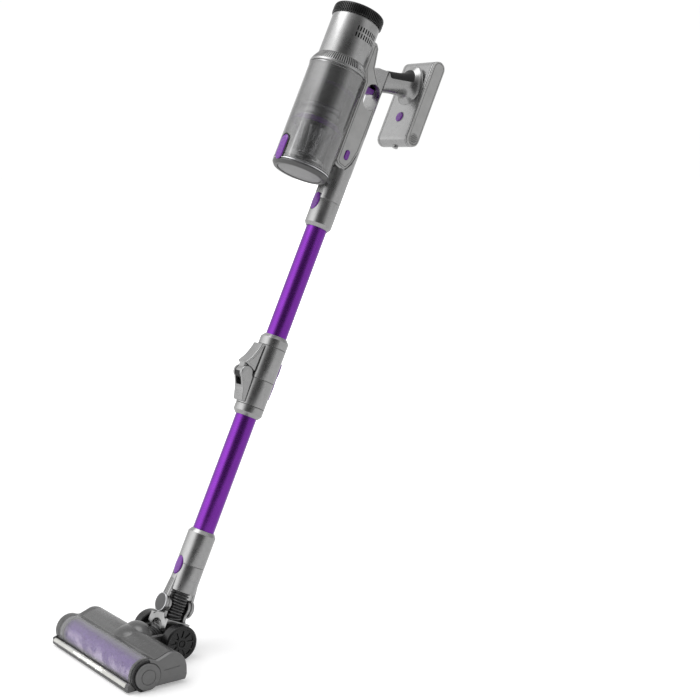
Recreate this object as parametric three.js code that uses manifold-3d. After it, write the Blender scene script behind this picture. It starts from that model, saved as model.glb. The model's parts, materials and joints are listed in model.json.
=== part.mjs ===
// Cordless stick vacuum with a folding wand, built as separate pieces in millimetres.
// World frame: +Z up from the floor, -Y forwards, +X to the right of someone facing the head,
// origin on the floor at the middle skid of the sole.
// Everything above the head is drawn in the wand frame: its Z runs up the wand from the pitch
// axle, its Y points to the user's side, and the whole group leans back by LEAN.

import * as THREE from 'three';
import { mergeVertices } from 'three/addons/utils/BufferGeometryUtils.js';
import Module from 'manifold-3d';

const wasm = await Module();
wasm.setup();

// ---------------------------------------------------------------- driving dimensions
const LEAN = 25.25;                    // degrees the wand leans back from upright
const GAP = 0.3;                       // running and parting clearance
const FINE = 24;                       // segments of a large round piece
const COARSE = 12;                     // segments of a small round piece

const SKID_Y = -30;                    // middle of the sole's skids, in the head's own frame
const WHEEL_R = 27.5;
const AXLE_Y = 18.4;                   // pitch axle and wheel axle, on one line
const AXLE_Z = WHEEL_R;

const TUBE_R = 17.5;                   // purple aluminium tubes, 35 mm across
const TUBE_BORE_R = 16;
const TUBE_SEAT_R = TUBE_R + GAP;
const SOCKET_R = 22.9;                 // collars, neck and duct
const PLUG_R = 19.8;                   // spigots that slide into the collars
const PLUG_BORE_R = 16.5;
const PLUG_SEAT_R = PLUG_R + 0.4;
const SHOULDER = 6;                    // length of the chamfer where a collar meets a tube

const NECK_BOTTOM = 72;                // heights along the wand
const HEAD_SEAM = 115.2;
const SOCKET_TOP = 167.3;
const LOWER_JOINT_BOTTOM = 374.5;
const FOLD_SEAM = 431;
const UPPER_JOINT_TOP = 500.8;
const COLLAR_BOTTOM = 704.5;
const WAND_SEAM = 745.6;
const PLUG_LENGTH = 42;

const JOINT_R = 24;                    // fold joint housings
const HOSE_ROOM_R = 20.5;
const FOLD_Y = -36;                    // fold pin, in front of the tubes
const FOLD_Z = 433;
const FOLD_PIN_R = 3;
const KNUCKLE_R = 10;
const KNUCKLE_HALF = 13;               // half width of the fold knuckle
const TONGUE_HALF = 7.2;

const SWIVEL_Z = 46.9;                 // steering pivot, across the neck
const SWIVEL_PIN_R = 5;
const SWIVEL_CAP_R = 15.3;
const EAR_IN = 16;
const EAR_OUT = 21.5;
const CHEEK_OUT = 27.3;
const HOSE_R = 14.5;

const BIN_Y = -69.9;                   // common axis of bin, cyclone, motor and filter
const BIN_R = 48.4;
const BIN_WALL = 2.2;
const LID_BOTTOM = 765.3;
const CUP_BOTTOM = 776.2;
const CUP_TOP = 946.8;
const SKIRT_TOP = 966;
const MOTOR_R = 40.6;
const MOTOR_TOP = 1038.4;
const CAP_R = 43;
const CAP_TOP = 1056;
const LID_PIN_Y = -23;
const LID_PIN_Z = 768.5;

const SPINE_HALF = 19.7;               // flat flanks of the duct, under the side panels
const PANEL_T = 1.7;
const SPINE_TOP = 1020;
const HOLE_Y = -3;                     // finger hole through the spine
const HOLE_LOW = 927;
const HOLE_HIGH = 942;
const HOLE_R = 15;

const HANDLE_START = [0, 969];         // handle centre line, in Y and Z
const HANDLE_END = [78, 997];
const HANDLE_HALF_X = 17;
const HANDLE_HALF_Z = 20;

const BATTERY_FRONT = 79;
const BATTERY_BACK = 105.3;
const BATTERY_BOTTOM = 891;
const BATTERY_TOP = 1047;
const BATTERY_HALF = 41.5;
const BATTERY_CAP_T = 3.7;
const BATTERY_WALL = 2;
const BATTERY_BUTTON_Z = 940;
const CELL_R = 9.1;
const CELL_COUNT = 7;
const CELL_PITCH = 18.6;
const CELL_HALF = 32.5;

const BUTTON_HALF_X = 9.8;             // oval release buttons at both ends of the wand
const BUTTON_HALF_Z = 15.3;
const UPPER_BUTTON_Z = 740;
const LOWER_BUTTON_Z = 110.4;

const ROLLER_Y = -82.7;                // roller axis in the head
const ROLLER_Z = 22;
const ROLLER_R = 21.3;
const WINDOW_IN = 23.2;
const WINDOW_OUT = 25;
const WINDOW_FROM = 72;                // degrees round the roller axis, from the rear
const WINDOW_TO = 205;
const HEAD_LEFT = -118;
const HEAD_RIGHT = 124;
const COVER_LEFT = -132;
const COVER_RIGHT = 133;
const KNOB_R = 20.3;
const HEAD_FLOOR = 4.3;
const DRIVE_Y = -38;                   // roller motor axis
const DRIVE_Z = 24;
const MOTOR_PULLEY_R = 6;
const ROLLER_PULLEY_R = 12;
const BELT_T = 1;
const FORK_IN = 27.5;                  // fork arms of the head, either side of the yoke
const FORK_OUT = 35.5;
const WHEEL_IN = 36;
const WHEEL_OUT = 56;
const STUB_R = 4;

// ---------------------------------------------------------------- materials
const finish = (color, roughness, metalness) => (
  new THREE.MeshStandardMaterial({ color, roughness, metalness })
);
const gunmetal = finish(0x7d7d7e, 0.35, 0.6);
const lightGrey = finish(0xb9b9ba, 0.45, 0.1);
const purpleMetal = finish(0x5b1f97, 0.3, 0.8);
const purplePlastic = finish(0x5f2a9c, 0.35, 0);
const blackPlastic = finish(0x161617, 0.5, 0);
const blackRubber = finish(0x1b1b1c, 0.8, 0);
const smoke = finish(0x8c8c90, 0.1, 0);
const brightMetal = finish(0xc9c9cc, 0.2, 1);
const steel = finish(0xa5a7aa, 0.3, 1);
const clear = finish(0xd8d8de, 0.08, 0);
const filterWhite = finish(0xe4e4e0, 0.9, 0);
const cellGreen = finish(0x3c8f5a, 0.5, 0);
const boardGreen = finish(0x1f5a3a, 0.6, 0);
const plush = finish(0x6a3fa0, 1, 0);

// ---------------------------------------------------------------- booleans
function toSolid(geometry) {
  const plain = geometry.clone();
  plain.deleteAttribute('normal');
  plain.deleteAttribute('uv');
  const merged = mergeVertices(plain, 1e-4);
  const index = merged.index.array;
  const triangles = [];
  for (let i = 0; i < index.length; i += 3) {
    const [a, b, c] = [index[i], index[i + 1], index[i + 2]];
    if (a !== b && b !== c && c !== a) {
      triangles.push(a, b, c);
    }
  }
  return new wasm.Manifold(new wasm.Mesh({
    numProp: 3,
    vertProperties: new Float32Array(merged.attributes.position.array),
    triVerts: new Uint32Array(triangles),
  }));
}

function toGeometry(solid) {
  const mesh = solid.getMesh();
  const geometry = new THREE.BufferGeometry();
  geometry.setAttribute('position', new THREE.BufferAttribute(new Float32Array(mesh.vertProperties), 3));
  geometry.setIndex(new THREE.BufferAttribute(new Uint32Array(mesh.triVerts), 1));
  return geometry;
}

function join(first, ...others) {
  return toGeometry(others.reduce((sum, other) => sum.add(toSolid(other)), toSolid(first)));
}

function cut(base, ...tools) {
  return toGeometry(tools.reduce((rest, tool) => rest.subtract(toSolid(tool)), toSolid(base)));
}

function overlap(first, second) {
  return toGeometry(toSolid(first).intersect(toSolid(second)));
}

// ---------------------------------------------------------------- basic shapes
// A profile of [radius, height] points, counter-clockwise, turned about the Z axis.
function turned(profile, segments = FINE, y = 0) {
  const points = profile.map(([r, z]) => new THREE.Vector2(r, z));
  const geometry = new THREE.LatheGeometry(points, segments);
  geometry.rotateX(Math.PI / 2);
  geometry.translate(0, y, 0);
  return geometry;
}

function ring(outer, inner, low, high, segments = FINE, y = 0) {
  return turned([[inner, low], [outer, low], [outer, high], [inner, high], [inner, low]], segments, y);
}

function disc(radius, low, high, segments = FINE, y = 0) {
  return turned([[0, low], [radius, low], [radius, high], [0, high]], segments, y);
}

function block(x0, x1, y0, y1, z0, z1) {
  const geometry = new THREE.BoxGeometry(x1 - x0, y1 - y0, z1 - z0);
  geometry.translate((x0 + x1) / 2, (y0 + y1) / 2, (z0 + z1) / 2);
  return geometry;
}

// A cylinder lying along X, centred on (y, z).
function barX(radius, x0, x1, y, z, segments = COARSE) {
  const geometry = new THREE.CylinderGeometry(radius, radius, x1 - x0, segments);
  geometry.rotateZ(Math.PI / 2);
  geometry.translate((x0 + x1) / 2, y, z);
  return geometry;
}

// A cylinder lying along Y, centred on (x, z).
function barY(radius, y0, y1, x, z, segments = COARSE) {
  const geometry = new THREE.CylinderGeometry(radius, radius, y1 - y0, segments);
  geometry.translate(x, (y0 + y1) / 2, z);
  return geometry;
}

function outline(points) {
  return new THREE.Shape(points.map(([a, b]) => new THREE.Vector2(a, b)));
}

// A shape drawn in (y, z) and given thickness along X.
function slabX(shape, x0, x1, curveSegments = 12) {
  const geometry = new THREE.ExtrudeGeometry(shape, { depth: x1 - x0, bevelEnabled: false, curveSegments });
  const toSide = new THREE.Matrix4().makeBasis(
    new THREE.Vector3(0, 1, 0),
    new THREE.Vector3(0, 0, 1),
    new THREE.Vector3(1, 0, 0),
  );
  geometry.applyMatrix4(toSide);
  geometry.translate(x0, 0, 0);
  return geometry;
}

// A shape drawn in (x, z) and given thickness along Y.
function slabY(shape, y0, y1, curveSegments = 12) {
  const geometry = new THREE.ExtrudeGeometry(shape, { depth: y1 - y0, bevelEnabled: false, curveSegments });
  const toFront = new THREE.Matrix4().makeBasis(
    new THREE.Vector3(1, 0, 0),
    new THREE.Vector3(0, 0, 1),
    new THREE.Vector3(0, -1, 0),
  );
  geometry.applyMatrix4(toFront);
  geometry.translate(0, y1, 0);
  return geometry;
}

// A slot outline with round ends between two heights, drawn about the centre line `a`.
function stadium(a, low, high, radius) {
  const shape = new THREE.Shape();
  shape.moveTo(a + radius, low);
  shape.lineTo(a + radius, high);
  shape.absarc(a, high, radius, 0, Math.PI, false);
  shape.lineTo(a - radius, low);
  shape.absarc(a, low, radius, Math.PI, 2 * Math.PI, false);
  return shape;
}

function ellipse(a, b, halfA, halfB) {
  const shape = new THREE.Shape();
  shape.absellipse(a, b, halfA, halfB, 0, 2 * Math.PI, false, 0);
  return shape;
}

// ---------------------------------------------------------------- scene graph
const vacuum = new THREE.Group();
vacuum.position.y = -SKID_Y;
const wand = new THREE.Group();
wand.position.set(0, AXLE_Y, AXLE_Z);
wand.rotation.x = -THREE.MathUtils.degToRad(LEAN);
vacuum.add(wand);

function place(group, name, geometry, material) {
  const mesh = new THREE.Mesh(geometry, material);
  mesh.name = name;
  group.add(mesh);
}

// Room round the bin, skirt and motor, which the duct leaves free.
function binRoom(extra) {
  return join(
    disc(BIN_R + extra, WAND_SEAM + 5, CUP_TOP + 0.2, FINE, BIN_Y),
    turned([[0, CUP_TOP - 1], [50, CUP_TOP - 1], [50, CUP_TOP + 6], [42.4, SKIRT_TOP + 2],
      [MOTOR_R + GAP, SKIRT_TOP + 2], [MOTOR_R + GAP, CAP_TOP], [0, CAP_TOP]], FINE, BIN_Y),
  );
}

// The oval pocket that a wand release button works in.
function buttonPocket(z) {
  return slabY(ellipse(0, z, BUTTON_HALF_X + 0.5, BUTTON_HALF_Z + 0.5), -32, -TUBE_SEAT_R - 0.1, 10);
}

function releaseButton(z) {
  return overlap(
    slabY(ellipse(0, z, BUTTON_HALF_X, BUTTON_HALF_Z), -SOCKET_R - 3, -20.4, 10),
    disc(SOCKET_R + 1.6, z - 20, z + 20, FINE),
  );
}

// ---------------------------------------------------------------- handheld body
function buildDuct() {
  const flanks = slabX(outline([
    [-30, 812], [-22, 804], [-3, 800], [10, 830], [11, SPINE_TOP - 12], [4, SPINE_TOP],
    [-22, SPINE_TOP], [-32, SPINE_TOP - 10],
  ]), -SPINE_HALF, SPINE_HALF);
  const body = join(disc(SOCKET_R, WAND_SEAM + GAP, SPINE_TOP - 14), flanks);
  const hollow = turned([
    [0, WAND_SEAM - 5], [PLUG_SEAT_R, WAND_SEAM - 5], [PLUG_SEAT_R, WAND_SEAM + PLUG_LENGTH + 3],
    [16, WAND_SEAM + PLUG_LENGTH + 8], [16, 893], [0, 903],
  ], 32);
  const airPort = block(-11, 11, -40, -5, 866, 890);
  const finger = slabX(stadium(HOLE_Y, HOLE_LOW, HOLE_HIGH, HOLE_R), -40, 40, 10);
  const triggerSlot = block(-8.7, 8.7, -15, 8, HOLE_HIGH, 976);
  const boardRoom = block(-15, 15, -25, 8, 974, SPINE_TOP - 6);
  const sideButton = slabX(stadium(-9.5, 823, 831, 4.9), SPINE_HALF - 3.5, SPINE_HALF + 5, 8);
  const panelSeat = outline([[-40, 803], [-3, 803], [6, 817], [12, 842], [12, 1060], [-40, 1060]]);
  const lidSwing = disc(BIN_R + 3.4, WAND_SEAM + 5, CUP_BOTTOM + 3, FINE, BIN_Y);
  return cut(body, binRoom(1.6), lidSwing, hollow, airPort, finger, triggerSlot, boardRoom, sideButton,
    slabX(panelSeat, SPINE_HALF, 40), slabX(panelSeat, -40, -SPINE_HALF), buttonPocket(UPPER_BUTTON_Z));
}

function buildPanel(side) {
  const shape = outline([
    [-27, 822], [-25.5, 813], [-20, 807.5], [-3, 804.5], [4, 818], [10.2, 842], [10.6, 1000],
    [6, 1013], [-4, 1022], [-20, 1025.5], [-27, 1021], [-31, 1010], [-31, 960],
  ]);
  const inner = SPINE_HALF + GAP;
  const outer = inner + PANEL_T;
  const plate = side > 0 ? slabX(shape, inner, outer) : slabX(shape, -outer, -inner);
  const finger = slabX(stadium(HOLE_Y, HOLE_LOW, HOLE_HIGH, HOLE_R), -40, 40, 10);
  const parts = [binRoom(1.6), finger];
  if (side > 0) {
    parts.push(slabX(stadium(-9.5, 823, 831, 4.9), 0, 40, 8));
  }
  return cut(plate, ...parts);
}

// The handle's centre line, as a path through the wand frame.
function handlePath(from, to) {
  const [y0, z0] = HANDLE_START;
  const [y1, z1] = HANDLE_END;
  const at = (t) => new THREE.Vector3(0, y0 + (y1 - y0) * t, z0 + (z1 - z0) * t);
  return new THREE.LineCurve3(at(from), at(to));
}

function handleTube(extra, from, to) {
  const section = new THREE.Shape();
  section.absellipse(0, 0, HANDLE_HALF_Z + extra, HANDLE_HALF_X + extra, 0, 2 * Math.PI, false, 0);
  return new THREE.ExtrudeGeometry(section, {
    steps: 1,
    curveSegments: 16,
    extrudePath: handlePath(from, to),
  });
}

// The upper part of the handle's section, where the soft pad lies.
function padRegion(extra) {
  const [y0, z0] = HANDLE_START;
  const slope = (HANDLE_END[1] - z0) / (HANDLE_END[0] - y0);
  const heightAt = (y) => z0 + slope * (y - y0) + 6 - extra;
  return slabX(outline([
    [26 - extra, heightAt(26)], [70 + extra, heightAt(70)],
    [70 + extra, heightAt(70) + 30], [26 - extra, heightAt(26) + 30],
  ]), -30, 30);
}

function buildHandle() {
  const flare = new THREE.SphereGeometry(1, 18, 12);
  flare.scale(30, 26, 40);
  flare.translate(0, 86, 992);
  const body = join(handleTube(0, 0.05, 0.97), flare);
  const spineRoom = join(disc(SOCKET_R + GAP, 900, 1040), block(-30, 30, -40, 11.4, 900, 1060));
  const behind = block(-60, 60, BATTERY_FRONT - GAP, 140, 880, 1080);
  const padRoom = cut(overlap(handleTube(2, 0.1, 0.96), padRegion(GAP)), handleTube(-2.8, 0, 1));
  const wireWay = barY(6, 10, 90, 0, 985, 12);
  return cut(body, spineRoom, behind, padRoom, wireWay);
}

function buildPad() {
  return cut(overlap(handleTube(0.5, 0.1, 0.96), padRegion(0)), handleTube(-2.5, 0, 1));
}

function buildMotorHousing() {
  const shell = ring(MOTOR_R, MOTOR_R - 2.6, SKIRT_TOP + GAP, MOTOR_TOP, FINE, BIN_Y);
  const slots = [];
  for (const side of [-1, 1]) {
    for (const low of [1002.5, 1013]) {
      for (let i = 0; i < 9; i += 1) {
        const slot = block(-1.1, 1.1, -MOTOR_R - 3, -MOTOR_R + 6, low, low + 8);
        slot.rotateZ(THREE.MathUtils.degToRad(side * (67 + i * 7)));
        slot.translate(0, BIN_Y, 0);
        slots.push(slot);
      }
    }
  }
  return cut(shell, ...slots);
}

function buildSkirt() {
  return turned([
    [46, CUP_TOP + 0.5], [49, CUP_TOP + 0.5], [49, CUP_TOP + 4], [47.4, CUP_TOP + 9],
    [41.4, SKIRT_TOP], [36, SKIRT_TOP], [36, SKIRT_TOP - 3], [40, SKIRT_TOP - 4],
    [46, CUP_TOP + 5], [46, CUP_TOP + 0.5],
  ], FINE, BIN_Y);
}

function buildSuctionMotor() {
  return turned([
    [2.9, 971.5], [10, 971.5], [10, 974], [30, 974], [31, 976], [31, 1008], [26, 1014],
    [12, 1020], [0, 1020], [0, 990], [2.9, 990], [2.9, 971.5],
  ], 32, BIN_Y);
}

function buildImpeller() {
  const hub = turned([
    [0, 951], [7, 953], [12, 960], [29, 966], [29, 968.5], [6, 968.5], [2.5, 968.5], [2.5, 988],
    [0, 988],
  ], 32, BIN_Y);
  const blades = [];
  for (let i = 0; i < 7; i += 1) {
    const blade = block(-0.8, 0.8, 6, 28, 958, 966.5);
    blade.rotateZ(i * 2 * Math.PI / 7);
    blade.translate(0, BIN_Y, 0);
    blades.push(blade);
  }
  return join(hub, ...blades);
}

function buildTrigger() {
  const shape = outline([
    [-14, 953], [-13.5, 946], [-10, 940.5], [-5, 944.5], [0, 946.5], [6, 946.5], [7, 953],
  ]);
  return slabX(shape, -8.2, 8.2);
}

function buildTriggerSpring() {
  return ring(4, 2.6, 957, 966, 12, -4);
}

function buildCapRing() {
  return turned([
    [38.4, MOTOR_TOP + GAP], [CAP_R, MOTOR_TOP + GAP], [CAP_R, CAP_TOP - 4], [CAP_R - 1, CAP_TOP - 1],
    [40, CAP_TOP], [37.6, CAP_TOP], [37.6, CAP_TOP - 2], [38.4, CAP_TOP - 3], [38.4, MOTOR_TOP + GAP],
  ], FINE, BIN_Y);
}

function buildFilterCover() {
  return turned([
    [0, CAP_TOP - 5], [37, CAP_TOP - 5], [37, CAP_TOP - 1], [34, CAP_TOP - 0.3], [12, CAP_TOP - 1.5],
    [0, CAP_TOP - 1.5],
  ], FINE, BIN_Y);
}

// ---------------------------------------------------------------- dust bin
function buildCup() {
  const wall = ring(BIN_R, BIN_R - BIN_WALL, CUP_BOTTOM, CUP_TOP, FINE, BIN_Y);
  return cut(wall, block(-11, 11, -40, -5, 866, 890));
}

function buildCyclone() {
  return turned([
    [10, 797], [17, 797], [25, 846], [37, 850], [37.5, 860], [34, 864], [34, 941], [44, 943],
    [44, 945.5], [31, 945.5], [31, 866], [10, 797],
  ], FINE, BIN_Y);
}

function buildScreen() {
  return ring(38, 36.8, 872, 938, FINE, BIN_Y);
}

function buildLid() {
  return turned([
    [0, LID_BOTTOM + 1.5], [38, LID_BOTTOM + 1.5], [39, LID_BOTTOM], [45, LID_BOTTOM],
    [BIN_R, LID_BOTTOM + 3], [BIN_R, CUP_BOTTOM - 0.6], [45.6, CUP_BOTTOM - 0.6],
    [45.6, LID_BOTTOM + 5], [0, LID_BOTTOM + 5],
  ], FINE, BIN_Y);
}

function buildLidGasket() {
  return ring(45.2, 42.5, LID_BOTTOM + 5.3, CUP_BOTTOM + 1.5, FINE, BIN_Y);
}

function buildLatch() {
  return overlap(
    slabY(stadium(0, 779, 804, 10), BIN_Y - 70, BIN_Y - 30, 8),
    ring(BIN_R + 2.8, BIN_R + 0.4, 760, 820, FINE, BIN_Y),
  );
}

function buildBinButton() {
  return slabX(stadium(-9.5, 823, 831, 4.4), SPINE_HALF - 1, SPINE_HALF + PANEL_T + 2, 8);
}

// ---------------------------------------------------------------- battery
function batteryOutline(inset) {
  const radius = (BATTERY_BACK - BATTERY_FRONT) / 2;
  const middle = (BATTERY_BACK + BATTERY_FRONT) / 2;
  return stadium(middle, BATTERY_BOTTOM + radius, BATTERY_TOP - radius, radius - inset);
}

function buildBatteryCase() {
  const half = BATTERY_HALF - BATTERY_CAP_T;
  const shell = slabX(batteryOutline(0), -half, half);
  const port = disc(5, BATTERY_BOTTOM - 3.5, BATTERY_BOTTOM + 2, COARSE, 92);
  const room = slabX(batteryOutline(BATTERY_WALL), -half - 5, half + 5);
  const buttonHole = barY(6.9, 70, 84, 0, BATTERY_BUTTON_Z);
  return cut(join(shell, port), room, buttonHole);
}

function buildBatteryCap(side) {
  const inner = BATTERY_HALF - BATTERY_CAP_T + GAP;
  const shape = batteryOutline(0.4);
  return side > 0 ? slabX(shape, inner, BATTERY_HALF) : slabX(shape, -BATTERY_HALF, -inner);
}

function buildCells() {
  const y = (BATTERY_BACK + BATTERY_FRONT) / 2;
  const middle = (BATTERY_BOTTOM + BATTERY_TOP) / 2;
  const reach = CELL_PITCH * (CELL_COUNT - 1) / 2;
  const parts = [];
  for (let i = 0; i < CELL_COUNT; i += 1) {
    parts.push(barX(CELL_R, -CELL_HALF, CELL_HALF, y, middle - reach + i * CELL_PITCH, 16));
  }
  for (const x of [-CELL_HALF, CELL_HALF - 0.5]) {
    parts.push(block(x - 0.2, x + 0.7, y - 4, y + 4, middle - reach - 4, middle + reach + 4));
  }
  return join(...parts);
}

function buildBatteryButton() {
  return barY(6.4, 75, 80.5, 0, BATTERY_BUTTON_Z, 24);
}

// ---------------------------------------------------------------- wand
function buildUpperCollar() {
  const body = turned([
    [TUBE_SEAT_R, COLLAR_BOTTOM - SHOULDER], [18.6, COLLAR_BOTTOM - SHOULDER],
    [SOCKET_R, COLLAR_BOTTOM], [SOCKET_R, WAND_SEAM], [PLUG_R, WAND_SEAM],
    [PLUG_R, WAND_SEAM + PLUG_LENGTH - 2], [PLUG_R - 1, WAND_SEAM + PLUG_LENGTH],
    [PLUG_BORE_R, WAND_SEAM + PLUG_LENGTH], [PLUG_BORE_R, WAND_SEAM - 6],
    [TUBE_SEAT_R, WAND_SEAM - 6], [TUBE_SEAT_R, COLLAR_BOTTOM - SHOULDER],
  ]);
  return cut(body, buttonPocket(UPPER_BUTTON_Z));
}

function buildUpperJoint() {
  const body = turned([
    [HOSE_ROOM_R, FOLD_SEAM + GAP], [JOINT_R, FOLD_SEAM + GAP], [JOINT_R, UPPER_JOINT_TOP],
    [18.7, UPPER_JOINT_TOP + SHOULDER], [TUBE_SEAT_R, UPPER_JOINT_TOP + SHOULDER],
    [TUBE_SEAT_R, 466], [HOSE_ROOM_R, 462], [HOSE_ROOM_R, FOLD_SEAM + GAP],
  ]);
  return cut(body, block(-7, 7, 15, 30, FOLD_SEAM - 5, 472));
}

function buildLowerJoint() {
  const body = turned([
    [TUBE_SEAT_R, LOWER_JOINT_BOTTOM - SHOULDER], [18.7, LOWER_JOINT_BOTTOM - SHOULDER],
    [JOINT_R, LOWER_JOINT_BOTTOM], [JOINT_R, FOLD_SEAM - GAP], [HOSE_ROOM_R, FOLD_SEAM - GAP],
    [HOSE_ROOM_R, 404], [TUBE_SEAT_R, 400], [TUBE_SEAT_R, LOWER_JOINT_BOTTOM - SHOULDER],
  ]);
  return cut(body, block(-7, 7, 21.2, 30, 399, FOLD_SEAM + 5));
}

function buildFoldArm() {
  const wedge = cut(
    slabX(outline([[-20, 486], [-28.5, 486], [-45, 449.4], [-44.4, 447.6], [-37, 444.6], [-20, 439]]),
      -KNUCKLE_HALF, KNUCKLE_HALF),
    barX(KNUCKLE_R + 0.8, -20, 20, FOLD_Y, FOLD_Z, 32),
  );
  const tongue = join(
    barX(8.5, -TONGUE_HALF, TONGUE_HALF, FOLD_Y, FOLD_Z, 28),
    slabX(outline([[-28.5, 432], [-43.5, 432], [-44, 450], [-28.5, 450]]), -TONGUE_HALF, TONGUE_HALF),
  );
  return cut(
    join(wedge, tongue),
    disc(JOINT_R + GAP, 400, 520),
    barX(FOLD_PIN_R + GAP, -30, 30, FOLD_Y, FOLD_Z, 20),
  );
}

function buildKnuckle() {
  const cheek = join(
    slabX(outline([
      [-27, 437], [-22, FOLD_SEAM - 2], [-20, 388], [-27.5, 388.5], [-34, 409], [-45.4, 430],
    ].reverse()), -KNUCKLE_HALF, KNUCKLE_HALF),
    barX(KNUCKLE_R, -KNUCKLE_HALF, KNUCKLE_HALF, FOLD_Y, FOLD_Z, 32),
  );
  const slot = slabX(outline([[-60, 412], [-60, 460], [-26.5, 460], [-26.5, 412]]),
    -TONGUE_HALF - 0.4, TONGUE_HALF + 0.4);
  return cut(
    cheek,
    slot,
    disc(JOINT_R + GAP, 380, 520),
    barX(FOLD_PIN_R + GAP, -30, 30, FOLD_Y, FOLD_Z, 20),
  );
}

function buildFoldLatch() {
  return slabX(outline([
    [22, 404], [26.3, 406], [27, 428], [26.3, 440], [27.6, 452], [27, 468], [22, 470],
  ]), -6.4, 6.4);
}

function buildLowerSocket() {
  const body = turned([
    [PLUG_SEAT_R, HEAD_SEAM + GAP], [SOCKET_R, HEAD_SEAM + GAP], [SOCKET_R, SOCKET_TOP],
    [18.6, SOCKET_TOP + SHOULDER], [TUBE_SEAT_R, SOCKET_TOP + SHOULDER], [TUBE_SEAT_R, 162],
    [16.6, 162], [16.6, 160], [PLUG_SEAT_R, 160], [PLUG_SEAT_R, HEAD_SEAM + GAP],
  ]);
  return cut(body, buttonPocket(LOWER_BUTTON_Z));
}

// ---------------------------------------------------------------- neck
function cheekPlate(front) {
  const shape = new THREE.Shape();
  shape.moveTo(15, SWIVEL_Z);
  shape.lineTo(13, 96);
  shape.lineTo(-13, 96);
  shape.lineTo(-15, SWIVEL_Z);
  shape.absarc(0, SWIVEL_Z, 15, Math.PI, 2 * Math.PI, false);
  const [y0, y1] = front ? [-CHEEK_OUT, -EAR_OUT - GAP] : [EAR_OUT + GAP, CHEEK_OUT];
  return slabY(shape, y0, y1, 10);
}

function buildNeck() {
  const tube = turned([
    [18.5, NECK_BOTTOM], [SOCKET_R, NECK_BOTTOM], [SOCKET_R, HEAD_SEAM - 0.1],
    [PLUG_R, HEAD_SEAM - 0.1], [PLUG_R, HEAD_SEAM + PLUG_LENGTH - 2],
    [PLUG_R - 1, HEAD_SEAM + PLUG_LENGTH], [PLUG_BORE_R, HEAD_SEAM + PLUG_LENGTH],
    [PLUG_BORE_R, HEAD_SEAM - 14], [18.5, HEAD_SEAM - 17], [18.5, NECK_BOTTOM],
  ]);
  const cheekBlend = turned([
    [20, NECK_BOTTOM], [CHEEK_OUT, NECK_BOTTOM], [CHEEK_OUT, 84], [SOCKET_R - 0.2, 97], [20, 97],
    [20, NECK_BOTTOM],
  ]);
  const cheekBand = overlap(cheekBlend, block(-13, 13, -40, 40, 60, 110));
  const cheeks = cut(join(cheekPlate(true), cheekPlate(false)), cut(
    block(-40, 40, -40, 40, 84, 120),
    turned([[0, 84], [CHEEK_OUT, 84], [SOCKET_R - 0.2, 97], [0, 97]]),
  ));
  return cut(
    join(tube, cheekBand, cheeks),
    barY(SWIVEL_PIN_R + GAP, -40, 40, 0, SWIVEL_Z),
    disc(18.5, 40, HEAD_SEAM - 18),
    buttonPocket(LOWER_BUTTON_Z),
  );
}

function buildYoke() {
  const ear = new THREE.Shape();
  ear.moveTo(14, SWIVEL_Z);
  ear.absarc(0, SWIVEL_Z, 14, 0, Math.PI, false);
  ear.lineTo(-27, 26);
  ear.lineTo(-27, 14);
  ear.lineTo(-17, 14);
  ear.absarc(0, 14, 15.6, Math.PI, 0, true);
  ear.lineTo(27, 14);
  ear.lineTo(27, 26);
  const ears = [
    slabY(ear, -EAR_OUT, -EAR_IN, 10),
    slabY(ear, EAR_IN, EAR_OUT, 10),
  ];
  const armShape = new THREE.Shape();
  armShape.moveTo(-EAR_OUT, 26);
  armShape.lineTo(-EAR_OUT, 14);
  armShape.lineTo(-11, -2);
  armShape.absarc(0, 0, 11, Math.PI, 2 * Math.PI, false);
  armShape.lineTo(EAR_OUT, 14);
  armShape.lineTo(EAR_OUT, 26);
  const arms = [slabX(armShape, 19, 27, 10), slabX(armShape, -27, -19, 10)];
  const pins = [
    barY(SWIVEL_PIN_R, -CHEEK_OUT, -EAR_IN - 1, 0, SWIVEL_Z),
    barY(SWIVEL_PIN_R, EAR_IN + 1, CHEEK_OUT + 1, 0, SWIVEL_Z),
    barY(9, CHEEK_OUT + GAP, 32, 0, SWIVEL_Z, 24),
  ];
  return cut(join(...ears, ...arms, ...pins), barX(STUB_R + GAP, -40, 40, 0, 0));
}

function buildSwivelCap() {
  return barY(SWIVEL_CAP_R, -CHEEK_OUT - 1.8, -CHEEK_OUT - GAP, 0, SWIVEL_Z, 32);
}

// The dust hose turns from the neck into the back of the head, through both pivots.
function buildNeckHose() {
  const turn = THREE.MathUtils.degToRad(LEAN);
  const intoHead = (y, z) => new THREE.Vector3(
    0,
    y * Math.cos(turn) - z * Math.sin(turn),
    y * Math.sin(turn) + z * Math.cos(turn),
  );
  const path = new THREE.CatmullRomCurve3([
    new THREE.Vector3(0, 0, 94),
    new THREE.Vector3(0, 0, 60),
    new THREE.Vector3(0, 0, 28),
    intoHead(-10, 5),
    intoHead(-27, -1),
    intoHead(-42, -1.5),
  ]);
  const section = new THREE.Shape();
  section.absarc(0, 0, HOSE_R, 0, 2 * Math.PI, false);
  const bore = new THREE.Path();
  bore.absarc(0, 0, HOSE_R - 2, 0, 2 * Math.PI, true);
  section.holes.push(bore);
  return new THREE.ExtrudeGeometry(section, { steps: 12, curveSegments: 4, extrudePath: path });
}

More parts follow.
